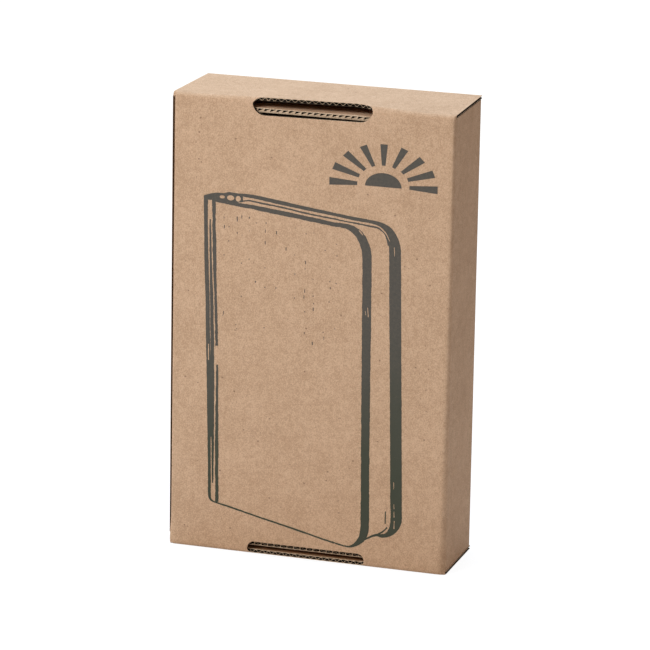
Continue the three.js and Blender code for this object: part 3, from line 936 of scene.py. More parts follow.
@dataclass
class Board:
    """Corrugated board laid along a path: two liners with a wave of paper between them.

    Attributes:
        place: Turns a place across the flutes, one along them and a depth into a point.
        low: The lower end along the flutes, by place across them.
        high: The upper end.
        shares: Where along each flute a row of points lies.
        crush: How much of its height the wave keeps, by share along.
        thickness: The whole board's thickness.
        liner: A liner's thickness.
        medium: The thickness of the wave's paper.
        pitch: The length of one wave.
        skin: How far the outer liner lies under the solid's face.
        samples: Columns of points in one wave.
        lean: How far the wave is pushed across for each millimetre under the board's middle.
        phase: How far the wave is moved along.
        filled: Whether the space between the wave and the inner liner is closed.
        squeeze: How much of its thickness the board keeps, by place across.
        rims: Materials of the raw edges of the outer liner, the wave and the inner liner.
        shortest: The shortest column that is drawn.
    """

    place: Placing
    low: Column
    high: Column
    shares: tuple[float, ...] = (0.0, 1.0)
    crush: Column = lambda share: 1.0
    thickness: float = 1.6
    liner: float = 0.24
    medium: float = 0.2
    pitch: float = 2.8
    skin: float = 0.05
    samples: int = 12
    lean: float = 0.0
    phase: float = 0.0
    filled: bool = False
    squeeze: Column = lambda across: 1.0
    rims: tuple[Skin, Skin, Skin] = (Skin.CUT, Skin.CUT, Skin.CUT)
    shortest: float = 0.02

    def columns(self, start: float, end: float, extra: Iterable[float] = ()) -> list[float]:
        """Places across the flutes, close enough together to draw the wave.

        Args:
            start: The first place.
            end: The last place.
            extra: Places that also need a column.

        Returns:
            The places, in order.
        """
        listed = steps(start, end, self.pitch / self.samples)
        listed += [place for place in extra if start < place < end]
        return sorted(set(listed))

    def _grid(
        self, columns: Sequence[float], depth: Callable[[float, float], float], lean: float = 0.0,
    ) -> list[list[Point]]:
        """Points of one surface of the board.

        Args:
            columns: Places across the flutes.
            depth: Depth below the outer face, by place across and share along.
            lean: How far it is pushed across for each millimetre under the board's middle.

        Returns:
            Columns of points.
        """
        grid = []
        for across in columns:
            low, high = self.low(across), self.high(across)
            column = []
            for share in self.shares:
                along = low + (high - low) * share
                below = depth(across, share) * self.squeeze(across)
                pushed = across + lean * (self.thickness / 2 - below)
                pushed = min(columns[-1], max(columns[0], pushed))
                column.append(self.place(pushed, along, below))
            grid.append(column)
        return grid

    def drawn(self, start: float, end: float, extra: Iterable[float] = ()) -> Pen:
        """Draws the board wherever it has a length along the flutes.

        Args:
            start: The first place across the flutes.
            end: The last place.
            extra: Places that also need a column.

        Returns:
            The pen that holds it.
        """
        pen = Pen()
        run: list[float] = []
        for across in self.columns(start, end, extra):
            if self.high(across) - self.low(across) > self.shortest:
                run.append(across)
            else:
                self._draw_run(pen, run)
                run = []
        self._draw_run(pen, run)
        return pen

    def _draw_run(self, pen: Pen, run: Sequence[float]) -> None:
        """Draws the liners and the wave over neighbouring columns.

        Args:
            pen: The pen of the piece.
            run: Places across the flutes.
        """
        if len(run) < 2:
            return
        inner = self.thickness - self.liner
        room = inner - self.skin - self.liner - self.medium
        middle = (self.skin + self.liner + inner) / 2

        def wave(across: float, share: float) -> float:
            swing = math.sin((across + self.phase) * math.tau / self.pitch) * self.crush(share)
            return middle + swing * room / 2

        half = self.medium / 2

        def under(across: float, share: float) -> float:
            return inner - self.skin if self.filled else wave(across, share) + half

        # The faces inside the flutes, the wave's and the liners' inner sides, are painted shade.
        layers = (
            (lambda a, s: self.skin, lambda a, s: self.skin + self.liner, Skin.OUTSIDE, 0.0),
            (lambda a, s: wave(a, s) - half, under, Skin.PAINTED_SHADE, self.lean),
            (lambda a, s: self.thickness, lambda a, s: inner, Skin.INSIDE, 0.0),
        )
        for (near, far, skin, lean), rim in zip(layers, self.rims):
            grids = self._grid(run, near, lean), self._grid(run, far, lean)
            pen.slab(*grids, run, (skin, Skin.PAINTED_SHADE, rim))


# The carton

@dataclass(frozen=True)
class CartonSizes:
    """Sizes of the carton in millimetres, taken from the frame's boxes."""

    lid: Box = field(default_factory=lambda: Box.of("lid_panel"))
    top_flap: Box = field(default_factory=lambda: Box.of("top_flap"))
    bottom_flap: Box = field(default_factory=lambda: Box.of("bottom_flap"))
    tuck: Box = field(default_factory=lambda: Box.of("tuck_flap"))
    left_wall: Box = field(default_factory=lambda: Box.of("left_wall"))
    back: Box = field(default_factory=lambda: Box.of("back_panel"))

    # Finger slots
    slot_length: float = 50.0
    slot_step: float = 0.002
    top_slot_height: float = 10.25
    top_slot_in_flap: float = 3.4
    top_slot_slant: float = 0.3
    top_slot_skew: float = 1.5
    top_slot_taper: float = 0.35
    top_slot_tapered: float = 9.0
    bottom_slot_height: float = 6.0
    bottom_slot_in_flap: float = 0.6

    # The front's left fold, by height, and the left wall's edge behind it
    lip_marks: tuple[Pair, ...] = ((2.0, 2.05), (4.5, 1.95), (12.0, 1.5), (187.0, 1.1))
    lip_fade: float = 6.0
    tuck_lip_fade: float = 3.0
    tucked_height: float = 3.4
    tucked_depth: float = 1.2
    tucked_step: float = 0.3
    raised_tip: float = 0.2

    # Ends of the walls and corners of the flaps
    wall_droop: float = 0.12
    wall_reach: float = 0.5
    corner_relief: float = 0.6
    corner_notch: float = 0.8
    notch_from: float = 2.6
    notch_to: float = 1.8
    tuck_taper: float = 9.0

    # Creases: outer radii, squareness, ends, and how flat the board is pressed
    side_turn: float = 3.4
    tuck_turn: float = 0.9
    top_turn: float = 2.2
    bottom_turn: float = 2.2
    side_square: float = 2.8
    top_square: float = 1.0
    bottom_square: float = 0.78
    top_fold_short: float = 0.05
    bottom_fold_short: float = 0.1
    low_crease_turn: Pair = (math.radians(34), math.radians(14))
    high_crease_turn: Pair = (math.radians(16), math.radians(6))
    side_crush: float = 0.7
    tuck_crush: float = 0.8
    flap_crush: float = 0.45
    crease_squeeze: float = 0.5
    crease_eased: float = 2.4
    edge_squeeze: float = 0.2
    edge_squeezed_from: float = 3.5
    edge_squeezed_to: float = 1.0
    edge_clearance: float = 0.12
    side_rows: tuple[float, ...] = (0.0, 0.01, 0.25, 0.5, 0.75, 0.99, 1.0)
    fold_rows: int = 8

    # Slack: walls drawn in towards the back, and the top front edge let down
    toe_left: float = 1.0
    toe_right: float = 0.6
    dip_left: float = 0.5
    dip_right: float = 0.9
    dip_from: float = 186.0
    dip_to: float = 188.2
    dip_cut_from: float = 0.3
    dip_cut_to: float = 1.8
    flat_to: float = 24.0
    dip_again: float = 48.0

    # Paper in the board, as its raw edges show it
    flap_phase: float = 0.5
    flute_lean: float = 1.5
    thin_liner: float = 0.19
    thin_medium: float = 0.15
    middle_liner: float = 0.25
    middle_medium: float = 0.22
    thick_liner: float = 0.3
    thick_medium: float = 0.2
    top_wall_board: float = 1.85
    top_wall_pitch: float = 2.6

    @property
    def board(self) -> float:
        """Thickness of the board."""
        return self.lid.high[1] - self.lid.low[1]

    @property
    def front(self) -> float:
        """The front face."""
        return self.lid.low[1]

    @property
    def tuck_fold(self) -> float:
        """Where the front starts to bend into the tuck flap, along X."""
        return self.lid.low[0] + self.tuck_turn

    @property
    def top_fold(self) -> float:
        """The fold line of the top flap, along Z."""
        return self.top_flap.high[2] - self.board

    @property
    def bottom_fold(self) -> float:
        """The fold line of the bottom flap, along Z."""
        return self.bottom_flap.low[2] + self.board

    @property
    def right(self) -> float:
        """The right wall's outer face."""
        return self.lid.high[0]

    def end_face(self, end: End) -> float:
        """The height of one end's outer face."""
        return self.top_flap.high[2] if end is End.TOP else self.bottom_flap.low[2]

    def end_turn(self, end: End) -> float:
        """The outer radius of the crease between the front and one end."""
        return self.top_turn if end is End.TOP else self.bottom_turn

    @staticmethod
    def flap_rims(end: End) -> tuple[Skin, Skin, Skin]:
        """The materials of a flap's raw edges: outer liner, wave and inner liner."""
        # The top flap's inner liner edge, seen in its finger slot, is painted shade.
        return (Skin.CUT, Skin.CUT, Skin.PAINTED_SHADE if end is End.TOP else Skin.CUT)

    def side_power(self, height: float) -> float:
        """How square the right corner is at a height: 1 is a round arc, and less is squarer."""
        return 2 / (2 + self.side_square * height / self.end_face(End.TOP))

    def corner_recess(self, across: float, end: End) -> float:
        """How far the front's face has turned back at a place near its left or right edge.

        Args:
            across: The place along X.
            end: The end of the carton that it is at.

        Returns:
            The distance behind the front.
        """
        past, radius = across - (self.right - self.side_turn), self.side_turn
        power = self.side_power(self.end_face(end))
        if across < 0:
            past, radius = self.tuck_fold - self.lip(self.top_fold) - across, self.tuck_turn
            power = 1.0
        cosine = min(1.0, max(0.0, past / radius)) ** (1 / power)
        return radius * (1 - math.sqrt(1 - cosine ** 2) ** power)

    def settled(self, spot: Point) -> Point:
        """Where a place on a square carton lies on this slightly slack one.

        Args:
            spot: The place on the square carton.

        Returns:
            The place, drawn in towards the back and let down along the top front edge.
        """
        x, y, z = spot
        back = min(1.0, max(0.0, (y - self.front) / (self.back.high[1] - self.front)))
        toe = self.toe_left if x < 0 else self.toe_right
        share = (x - self.lid.low[0]) / (self.right - self.lid.low[0])
        dip = (self.dip_left + (self.dip_right - self.dip_left) * share) * (1 - back)
        cut_free = smooth(abs(x), self.dip_again, self.flat_to)
        cut_back = smooth(y, self.front + self.dip_cut_from, self.front + self.dip_cut_to)
        dip *= 1 - cut_free * cut_back
        dropped = dip * smooth(z, self.dip_from, self.dip_to)
        return (x * (1 - toe * back / self.right), y, z - dropped)

    def eased_squeeze(self, across: float, crease: float) -> float:
        """How much of its thickness the board keeps at a place past the end of a pressed crease."""
        eased = smooth(across, crease, crease + self.crease_eased)
        return self.crease_squeeze + (1 - self.crease_squeeze) * eased

    def slot_radius(self, end: End) -> float:
        """Radius of a finger slot's round ends."""
        return (self.top_slot_height if end is End.TOP else self.bottom_slot_height) / 2

    def slot_reach(self, end: End, across: float) -> float:
        """How far a finger slot reaches from its long centre line, at a place across.

        Args:
            end: Which slot.
            across: The place along X.

        Returns:
            The reach, or 0 beside the slot.
        """
        radius = self.slot_radius(end)
        past = abs(across) - (self.slot_length / 2 - radius)
        if past >= radius:
            return 0.0
        return math.sqrt(radius ** 2 - max(0.0, past) ** 2)

    def slot_behind(self, end: End, across: float) -> float:
        """How far a finger slot reaches from its centre line into its flap, at a place across.

        Args:
            end: Which slot.
            across: The place along X.

        Returns:
            The reach, or 0 beside the slot.
        """
        reach = self.slot_reach(end, across)
        if end is End.BOTTOM:
            return reach
        half = self.slot_length / 2
        skewed = 1 + self.top_slot_skew * across / half / self.slot_radius(end)
        tapered = self.top_slot_taper * smooth(across, half - self.top_slot_tapered, half)
        return reach * skewed * (1 - tapered)

    def slot_drop(self, end: End, across: float) -> float:
        """How far a slot's centre line lies from the folded edge, in the front.

        Args:
            end: Which slot.
            across: The place along X.

        Returns:
            The distance.
        """
        if end is End.BOTTOM:
            return self.slot_radius(end) - self.bottom_slot_in_flap
        slant = self.top_slot_slant * across / (self.slot_length / 2)
        return self.slot_radius(end) - self.top_slot_in_flap - slant

    def lip(self, height: float) -> float:
        """How far the front's left fold stands out over the left wall's edge.

        Args:
            height: The height over the floor.

        Returns:
            The distance.
        """
        marks = self.lip_marks
        if height <= marks[0][0]:
            return marks[0][1]
        for (low, near), (high, far) in zip(marks, marks[1:]):
            if height <= high:
                return near + (far - near) * (height - low) / (high - low)
        return marks[-1][1]


class Carton:
    """The folded carton of corrugated board, with the print on its front."""

    def __init__(self, sizes: CartonSizes, finishes: Finishes) -> None:
        """Keeps what its pieces are made from.

        Args:
            sizes: Its sizes.
            finishes: The materials.
        """
        self.sizes = sizes
        self.finishes = finishes
        f = finishes
        self.skins = (f.outside, f.inside, f.cut_edge, f.painted_shade, f.shaded)

    def piece(self, pen: Pen, name: str, replaced: Sequence[str]) -> bpy.types.Object:
        """Makes a board piece and hides the frame nodes it stands for.

        Args:
            pen: What is drawn.
            name: The piece's name.
            replaced: The frame nodes.

        Returns:
            The object.
        """
        made = pen.make(name, self.skins)
        if replaced:
            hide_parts(*replaced)
        LOG.info("made %s with %d faces", name, len(made.data.polygons))
        return made

    def board(self, place: Placing, low: Column, high: Column, **kind: object) -> Board:
        """Board that follows this carton's slack.

        Args:
            place: Where it lies on a square carton.
            low: Its lower end, by place across the flutes.
            high: Its upper end.
            kind: The board's other values.

        Returns:
            The board.
        """
        def settled(across: float, along: float, depth: float) -> Point:
            return self.sizes.settled(place(across, along, depth))
        return Board(settled, low, high, **kind)

    def flap_squeeze(self, across: float) -> float:
        """How much of its thickness an outer flap keeps, pressed thin along its right edge.

        Args:
            across: The place along X.

        Returns:
            The share.
        """
        s = self.sizes
        start, end = s.right - s.edge_squeezed_from, s.right - s.edge_squeezed_to
        return 1 - s.edge_squeeze * smooth(across, start, end)

    def lip_shares(self, low: float, high: float) -> tuple[float, ...]:
        """Where a board needs a row of points to follow the lip over the left wall."""
        inside = [mark for mark, _ in self.sizes.lip_marks if low < mark < high]
        return (0.0, *((mark - low) / (high - low) for mark in inside), 1.0)

    def tray(self) -> None:
        """The left wall, back and right wall in one, bent round the two back corners."""
        s = self.sizes
        left, right = s.back.low[0], s.back.high[0]
        corner, inner_back = s.board, s.back.high[1] - s.board
        turn = corner * math.pi / 2
        step = s.tucked_step
        wall_front = s.left_wall.low[1]
        marks = [0.0]
        for length in (
            inner_back - wall_front, turn, right - left - 2 * corner, turn,
            inner_back - (s.front + s.side_turn),
        ):
            marks.append(marks[-1] + length)

        def place(across: float, along: float, depth: float) -> Point:
            radius = corner - depth
            if across < marks[1]:
                return (left + depth, wall_front + across, along)
            if across < marks[2]:
                angle = (across - marks[1]) / corner
                x, y = left + corner, inner_back
                return (x - radius * math.cos(angle), y + radius * math.sin(angle), along)
            if across < marks[3]:
                return (left + corner + across - marks[2], s.back.high[1] - depth, along)
            if across < marks[4]:
                angle = (across - marks[3]) / corner
                x, y = right - corner, inner_back
                return (x + radius * math.sin(angle), y + radius * math.cos(angle), along)
            return (right - depth, inner_back - (across - marks[4]), along)

        def droop(across: float) -> float:
            hung = s.wall_droop * smooth(across, marks[3], marks[4])
            return hung * smooth(across, marks[5], marks[4])

        def longer(across: float) -> float:
            return s.wall_reach * smooth(across, marks[3], marks[4]) - droop(across)

        def low(across: float) -> float:
            # The left wall's front edge draws back where the front's fold stands over it
            tucked = s.tucked_height * smooth(across, s.tucked_depth + step, s.tucked_depth)
            return s.back.low[2] - longer(across) + tucked

        def high(across: float) -> float:
            raised = s.raised_tip * smooth(across, s.tucked_depth, s.tucked_depth - step)
            return s.back.high[2] + longer(across) + raised

        # The tray's raw edges are painted shade, for the shadow behind the front's fold.
        board = self.board(place, low, high, rims=(Skin.SHADED,) * 3)
        edges = [s.tucked_depth + shift for shift in (-step, -step / 2, 0.0, step / 2, step)]
        pen = board.drawn(marks[0], marks[5], marks + edges)
        walls = self.piece(pen, "tray_walls", ["left_wall", "right_wall", "back_panel"])
        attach(walls, Body.TRAY.value)

    def ends(self) -> None:
        """The two level end walls inside the carton, and the four glued corner tabs."""
        for end in End:
            self._end_wall(end)
        for name in ("top_left_tab", "top_right_tab", "bottom_left_tab", "bottom_right_tab"):
            self._tab(name)

    def _end_wall(self, end: End) -> None:
        """One level end wall, whose raw edge shows in the finger slot before it.

        Args:
            end: Which end.
        """
        s = self.sizes
        name = end.name.lower() + "_end_wall"
        box = Box.of(name)
        outer = box.high[2] if end is End.TOP else box.low[2]
        cut = {"liner": s.middle_liner, "medium": s.middle_medium}
        if end is End.TOP:
            cut = {
                "liner": s.thick_liner, "medium": s.thick_medium, "thickness": s.top_wall_board,
                "pitch": s.top_wall_pitch, "filled": True,
            }

        def level(across: float, along: float, depth: float) -> Point:
            return (across, along, outer - end.value * depth)

        board = self.board(
            level, lambda a: box.low[1], lambda a: box.high[1], lean=s.flute_lean, **cut,
        )
        wall = self.piece(board.drawn(box.low[0], box.high[0]), name + "_board", [name])
        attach(wall, Body.TRAY.value)

    def _tab(self, name: str) -> None:
        """One glued corner tab, upright behind a side wall.

        Args:
            name: The frame node that it stands for.
        """
        box = Box.of(name)
        inward = 1 if "left" in name else -1
        outer = box.low[0] if inward > 0 else box.high[0]

        def upright(across: float, along: float, depth: float) -> Point:
            return (outer + inward * depth, across, along)

        board = self.board(upright, lambda a: box.low[2], lambda a: box.high[2])
        tab = self.piece(board.drawn(box.low[1], box.high[1]), name + "_board", [name])
        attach(tab, Body.TRAY.value)

    def front(self) -> None:
        """The lid: the printed front with the parts of the finger slots that are cut in it."""
        s = self.sizes
        bottom = s.end_face(End.BOTTOM) + s.end_turn(End.BOTTOM)
        top = s.end_face(End.TOP) - s.end_turn(End.TOP)

        def low(across: float) -> float:
            reach = s.slot_reach(End.BOTTOM, across)
            return s.slot_drop(End.BOTTOM, across) + reach if reach else bottom

        def high(across: float) -> float:
            reach = s.slot_reach(End.TOP, across)
            edge = s.end_face(End.TOP) - s.slot_drop(End.TOP, across) - reach
            return min(top, edge) if reach else top

        def place(across: float, along: float, depth: float) -> Point:
            pull = min(1.0, max(0.0, (s.tuck_fold + s.lip_fade - across) / s.lip_fade))
            return (across - s.lip(along) * pull, s.front + depth, along)

        half = s.slot_length / 2
        edges = [side * (half + off) for side in (-1, 1) for off in (-s.slot_step, s.slot_step)]
        board = self.board(
            place, low, high, shares=self.lip_shares(bottom, top), liner=s.thin_liner,
            medium=s.thin_medium, squeeze=lambda a: s.eased_squeeze(a, s.tuck_fold),
            # The wave's and inner liner's raw edges, seen in the finger slots, are painted shade.
            rims=(Skin.CUT, Skin.PAINTED_SHADE, Skin.PAINTED_SHADE),
        )
        pen = board.drawn(s.tuck_fold, s.right - s.side_turn, edges)
        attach(self.piece(pen, "lid_board", ["lid_panel"]), Body.LID.value)

    def folds(self) -> None:
        """The four creases round the front, each bending between the two boards it joins."""
        s = self.sizes
        reach = s.side_turn
        bottom = s.end_face(End.BOTTOM) + s.end_turn(End.BOTTOM)
        top = s.end_face(End.TOP) - s.end_turn(End.TOP)

        def side(across: float, along: float, depth: float) -> Point:
            radius, angle = max(LEAST_RADIUS, reach - depth), across / reach
            power = s.side_power(along)
            x = s.right - reach + radius * max(0.0, math.cos(angle)) ** power
            return (x, s.front + reach - radius * max(0.0, math.sin(angle)) ** power, along)

        # Its ends reach in under the flaps where the creases of these have run out
        def side_low(across: float) -> float:
            flap = s.bottom_fold - s.board * s.edge_squeeze + s.edge_clearance
            return bottom + (flap - bottom) * smooth(across / reach, *s.low_crease_turn)

        def side_high(across: float) -> float:
            flap = s.top_fold + s.board * s.edge_squeeze - s.edge_clearance
            return top + (flap - top) * smooth(across / reach, *s.high_crease_turn)

        turn = reach * math.pi / 2
        crease = self.board(
            side, side_low, side_high, shares=s.side_rows, crush=lambda share: s.side_crush,
            pitch=turn / 2,
        )
        piece = self.piece(crease.drawn(0.0, turn), "side_fold", [])
        start = (s.right * MM, (s.front + reach) * MM, 0.0)
        end = ((s.right - reach) * MM, s.front * MM, 0.0)
        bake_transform(piece)

        bend = s.tuck_turn

        def tuck(across: float, along: float, depth: float) -> Point:
            radius, angle = max(LEAST_RADIUS, bend - depth), across / bend
            x = s.tuck_fold - s.lip(along) - radius * math.sin(angle)
            return (x, s.front + bend - radius * math.cos(angle), along)

        turn = bend * math.pi / 2
        crease = self.board(
            tuck, lambda a: bottom, lambda a: top, shares=self.lip_shares(bottom, top),
            crush=lambda share: s.tuck_crush, pitch=turn, squeeze=lambda a: s.crease_squeeze,
        )
        piece = self.piece(crease.drawn(0.0, turn), "tuck_fold", [])
        x, y = s.tuck_fold * MM, s.front * MM
        start, end = (x, y, 0.0), (x - bend * MM, y + bend * MM, 0.0)
        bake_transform(piece)
        for end_of in End:
            self._end_fold(end_of)

    def _end_fold(self, end: End) -> None:
        """The crease between the front and one outer flap, cut through by its finger slot.

        Args:
            end: Which flap.
        """
        s = self.sizes
        turn = s.end_turn(end)
        face = s.end_face(end)
        fold = face - end.value * turn
        power = s.top_square if end is End.TOP else s.bottom_square

        def place(across: float, along: float, depth: float) -> Point:
            angle = along * math.pi / 2
            flat = max(LEAST_RADIUS, turn - s.corner_recess(across, end) - depth)
            upright = max(LEAST_RADIUS, turn - depth)
            y = s.front + turn - flat * max(0.0, math.cos(angle)) ** power
            return (across, y, fold + end.value * upright * math.sin(angle) ** power)

        def low(across: float) -> float:
            behind = s.slot_behind(end, across)
            if behind <= 0:
                return 0.0
            return min(1.0, max(0.0, (behind - s.slot_drop(end, across) + turn) / (2 * turn)))

        pinch = self.board(
            place, low, lambda a: 1.0, shares=tuple(steps(0.0, 1.0, 1 / s.fold_rows)),
            crush=lambda share: s.flap_crush + (1 - s.flap_crush) * (2 * share - 1) ** 2,
            liner=s.thin_liner, medium=s.thin_medium, squeeze=self.flap_squeeze,
            rims=s.flap_rims(end),
        )
        half = s.slot_length / 2
        left = s.back.low[0] + s.top_fold_short
        short = s.top_fold_short if end is End.TOP else s.bottom_fold_short
        pen = pinch.drawn(left, s.right - short, (-half, half))
        piece = self.piece(pen, end.name.lower() + "_fold", [])
        start = (0.0, s.front * MM, fold * MM)
        stop = (0.0, (s.front + turn) * MM, face * MM)
        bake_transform(piece)

    def flaps(self) -> None:
        """The two outer flaps, which lie level over the ends, and the tuck flap."""
        s = self.sizes
        self._outer_flap(End.TOP, s.top_flap)
        self._outer_flap(End.BOTTOM, s.bottom_flap)
        self._tuck_flap()

    def _outer_flap(self, end: End, box: Box) -> None:
        """One outer flap, with the part of a finger slot that is cut in it.

        Args:
            end: The end that it lies over.
            box: Its box.
        """
        s = self.sizes
        outer = s.end_face(end)
        bend = s.front + s.end_turn(end)
        # The bottom flap's right corner is cut back to clear the tray when both are open
        notch = 0.0 if end is End.TOP else s.corner_notch

        def place(across: float, along: float, depth: float) -> Point:
            return (across, along, outer - end.value * depth)

        def low(across: float) -> float:
            past = max(0.0, abs(across) - (s.right - s.corner_relief))
            cut = smooth(across, s.right - s.notch_from, s.right - s.notch_to)
            past = max(past, notch * cut)
            centre = s.front - s.slot_drop(end, across)
            return max(bend + past, centre + s.slot_behind(end, across))

        board = self.board(
            place, low, lambda a: box.high[1], phase=s.flap_phase, liner=s.thin_liner,
            medium=s.thin_medium, squeeze=self.flap_squeeze, rims=s.flap_rims(end),
        )
        name = end.name.lower() + "_flap"
        pen = board.drawn(box.low[0], box.high[0])
        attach(self.piece(pen, name + "_board", [name]), name)

    def _tuck_flap(self) -> None:
        """The flap at the front's left edge, which narrows towards its free end."""
        s = self.sizes
        box = s.tuck
        first, free = s.front + s.tuck_turn, box.high[1]

        def place(across: float, along: float, depth: float) -> Point:
            lean = s.lip(along) * min(1.0, max(0.0, 1 - (across - first) / s.tuck_lip_fade))
            return (box.low[0] - lean + depth, across, along)

        def narrower(across: float) -> float:
            return s.tuck_taper * (across - first) / (free - first)

        board = self.board(
            place, lambda a: box.low[2] + narrower(a), lambda a: box.high[2] - narrower(a),
            shares=self.lip_shares(box.low[2], box.high[2]),
            squeeze=lambda a: s.eased_squeeze(a, first),
        )
        pen = board.drawn(first, free)
        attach(self.piece(pen, "tuck_flap_board", ["tuck_flap"]), Body.TUCK_FLAP.value)


# The print on the front

class Coat(Enum):
    """What a mark on the front is made with: full ink, rubbed ink or the bare paper again."""

    SOLID = 0
    RUBBED = 1
    PAPER = 2


@dataclass(frozen=True)
class Stroke:
    """One line of the drawing, as places across and up the front with widths, in millimetres."""

    points: tuple[Point, ...]
    rough: float = 0.05
    coat: Coat = Coat.SOLID


@dataclass
class FrontPrint:
    """A plain line drawing of the closed lamp, and a fan of rays beside it."""

    finishes: Finishes
    face: float
    lift: float = 0.012
    spread: float = 0.14
    layer: float = 0.0004
    grid: float = 0.45
    wander_kept: float = 0.6
    seed: int = 11
    grain_from: Pair = (-36.5, 142.6)
    grain_to: float = 13.0
    grain_slope: float = 0.13
    grain_drop: float = 50.0
    grain_crowding: float = 1.3
    grain_counts: tuple[int, int] = (2, 7)
    grain_gaps: Pair = (1.8, 5.4)
    grain_sway: float = 0.25
    grain_lengths: tuple[float, ...] = (0.35, 0.5, 0.8, 1.4)
    grain_widths: Pair = (0.16, 0.36)
    grain_point: float = 0.6
    detail_turn: float = 345.0
    detail_steps: int = 22
    sun_steps: int = 28
    ray_centre: Pair = (30.0, 158.8)
    ray_count: int = 9
    ray_inner: float = 8.0
    ray_outer: float = 16.6
    ray_half_inner: float = 0.75
    ray_half_outer: float = 1.55
    ray_stretch: float = 1.35
    sun_radius: float = 5.6
    sun_drop: float = 0.6

    def __post_init__(self) -> None:
        """Starts the drawing."""
        self.random = random.Random(self.seed)
        self.pen = Pen()
        self.depth = self.face - self.lift

    def spine(self) -> list[Stroke]:
        """The spine's two edges and the groove between them, down to the thin bottom line."""
        edge = (
            (-44.3, 148.3, 1.65), (-44.2, 137.5, 1.48), (-43.8, 121.8, 1.56), (-43.2, 105.2, 1.65),
            (-42.8, 88.5, 1.65), (-42.3, 73.9, 1.73), (-42.0, 58.4, 1.73), (-41.7, 42.3, 1.48),
            (-41.6, 29.5, 1.23), (-41.5, 22.7, 1.15), (-41.0, 21.3, 0.82), (-40.0, 20.6, 0.58),
            (-38.2, 20.1, 0.5), (-33.4, 19.1, 0.62), (-21.7, 16.4, 0.54), (-6.6, 13.1, 0.6),
            (6.3, 10.1, 0.5), (12.3, 8.8, 0.52),
        )
        groove = (
            (-42.4, 138.7, 0.41), (-42.3, 133.5, 0.74), (-42.0, 122.0, 0.82), (-41.4, 105.4, 1.23),
            (-41.0, 88.7, 1.32), (-40.8, 74.1, 1.48), (-40.6, 58.5, 1.4), (-40.4, 42.4, 0.99),
            (-40.2, 28.4, 0.49),
        )
        upper = (
            (-40.9, 147.2, 1.36), (-40.4, 124.6, 1.36), (-39.7, 105.5, 0.95), (-39.2, 91.0, 1.07),
            (-39.1, 86.4, 0.91),
        )
        lower = (
            (-38.8, 78.5, 0.58), (-38.7, 74.3, 0.86), (-38.7, 58.7, 1.13), (-38.6, 42.6, 1.28),
            (-38.4, 29.9, 1.19), (-38.3, 20.5, 1.4),
        )
        return [
            Stroke(edge, 0.05), Stroke(groove, 0.06), Stroke(upper, 0.11), Stroke(lower, 0.09),
            Stroke(((-42.6, 86.9, 0.4), (-42.5, 80.2, 0.4)), 0.03, Coat.PAPER),
            Stroke(((-41.1, 47.9, 0.25), (-40.8, 29.6, 0.37)), 0.04, Coat.PAPER),
        ]

    def covers(self) -> list[Stroke]:
        """Each cover in one line: top edge, round corner, outer edge and round foot."""
        front = (
            (-40.6, 146.7, 0.91), (-36.0, 146.2, 1.23), (-31.7, 145.8, 1.32), (-22.9, 145.1, 1.65),
            (-13.7, 144.0, 1.81), (-1.9, 142.7, 1.73), (10.3, 141.2, 1.65), (13.8, 141.0, 1.65),
            (17.0, 140.3, 2.3), (19.5, 138.8, 3.05), (21.6, 136.4, 3.54), (23.0, 133.5, 3.7),
            (23.8, 130.1, 3.74), (24.1, 111.7, 3.66), (24.5, 70.4, 3.54), (24.9, 36.9, 3.42),
            (25.2, 17.6, 3.42), (24.9, 14.6, 3.42), (24.1, 12.1, 2.88), (22.6, 10.2, 2.06),
            (20.8, 8.8, 1.23), (18.9, 8.1, 0.62), (16.8, 8.0, 0.49), (13.6, 8.6, 0.49),
            (11.4, 9.1, 0.49),
        )
        back = (
            (-30.0, 150.0, 0.66), (-26.9, 149.7, 1.32), (-22.9, 149.4, 1.36), (-13.8, 148.2, 1.48),
            (-2.0, 146.7, 1.32), (10.2, 145.3, 1.19), (17.2, 144.4, 1.32), (24.1, 143.8, 1.23),
            (28.2, 143.2, 1.48), (30.9, 142.1, 2.14), (33.0, 140.2, 3.13), (34.5, 137.4, 4.03),
            (35.3, 134.0, 4.69), (35.5, 130.4, 4.81), (36.3, 100.5, 4.77), (37.3, 63.4, 4.73),
            (38.2, 27.9, 4.73), (38.3, 21.2, 4.69), (37.6, 18.4, 3.95), (36.2, 16.1, 2.72),
            (34.1, 14.6, 1.9), (32.2, 14.1, 1.35), (30.5, 14.2, 0.95), (28.6, 13.6, 0.7),
            (26.5, 12.4, 0.6), (24.4, 11.4, 0.6),
        )
        pages = (
            (-29.3, 147.1, 0.41), (-26.4, 147.7, 0.49), (-21.5, 147.2, 0.58), (-13.7, 146.4, 0.45),
            (-1.9, 144.7, 0.45), (10.2, 143.4, 0.49), (17.2, 142.6, 0.45), (24.1, 141.9, 0.58),
            (28.4, 141.3, 0.53), (30.8, 139.7, 0.58), (32.1, 137.5, 0.82), (32.9, 134.6, 0.82),
        )
        gleams = (
            ((20.3, 139.7, 0.3), (21.1, 138.9, 0.45), (22.0, 137.9, 0.2)),
            ((35.1, 134.2, 0.15), (35.2, 132.4, 0.32), (35.3, 130.4, 0.15)),
            ((29.2, 141.5, 0.35), (31.4, 139.6, 0.42), (33.2, 136.4, 0.2)),
            ((37.3, 28.0, 0.12), (37.4, 26.0, 0.24)), ((37.4, 24.9, 0.15), (37.5, 22.4, 0.26)),
            ((37.6, 21.0, 0.22), (37.5, 17.6, 0.3)), ((37.0, 37.2, 0.18), (37.1, 34.3, 0.22)),
            ((24.6, 108.4, 0.2), (24.9, 104.6, 0.25)), ((23.6, 106.9, 0.2), (23.9, 105.3, 0.25)),
            ((32.2, 14.9, 0.2), (33.6, 15.5, 0.62), (34.9, 16.5, 0.3)),
        )
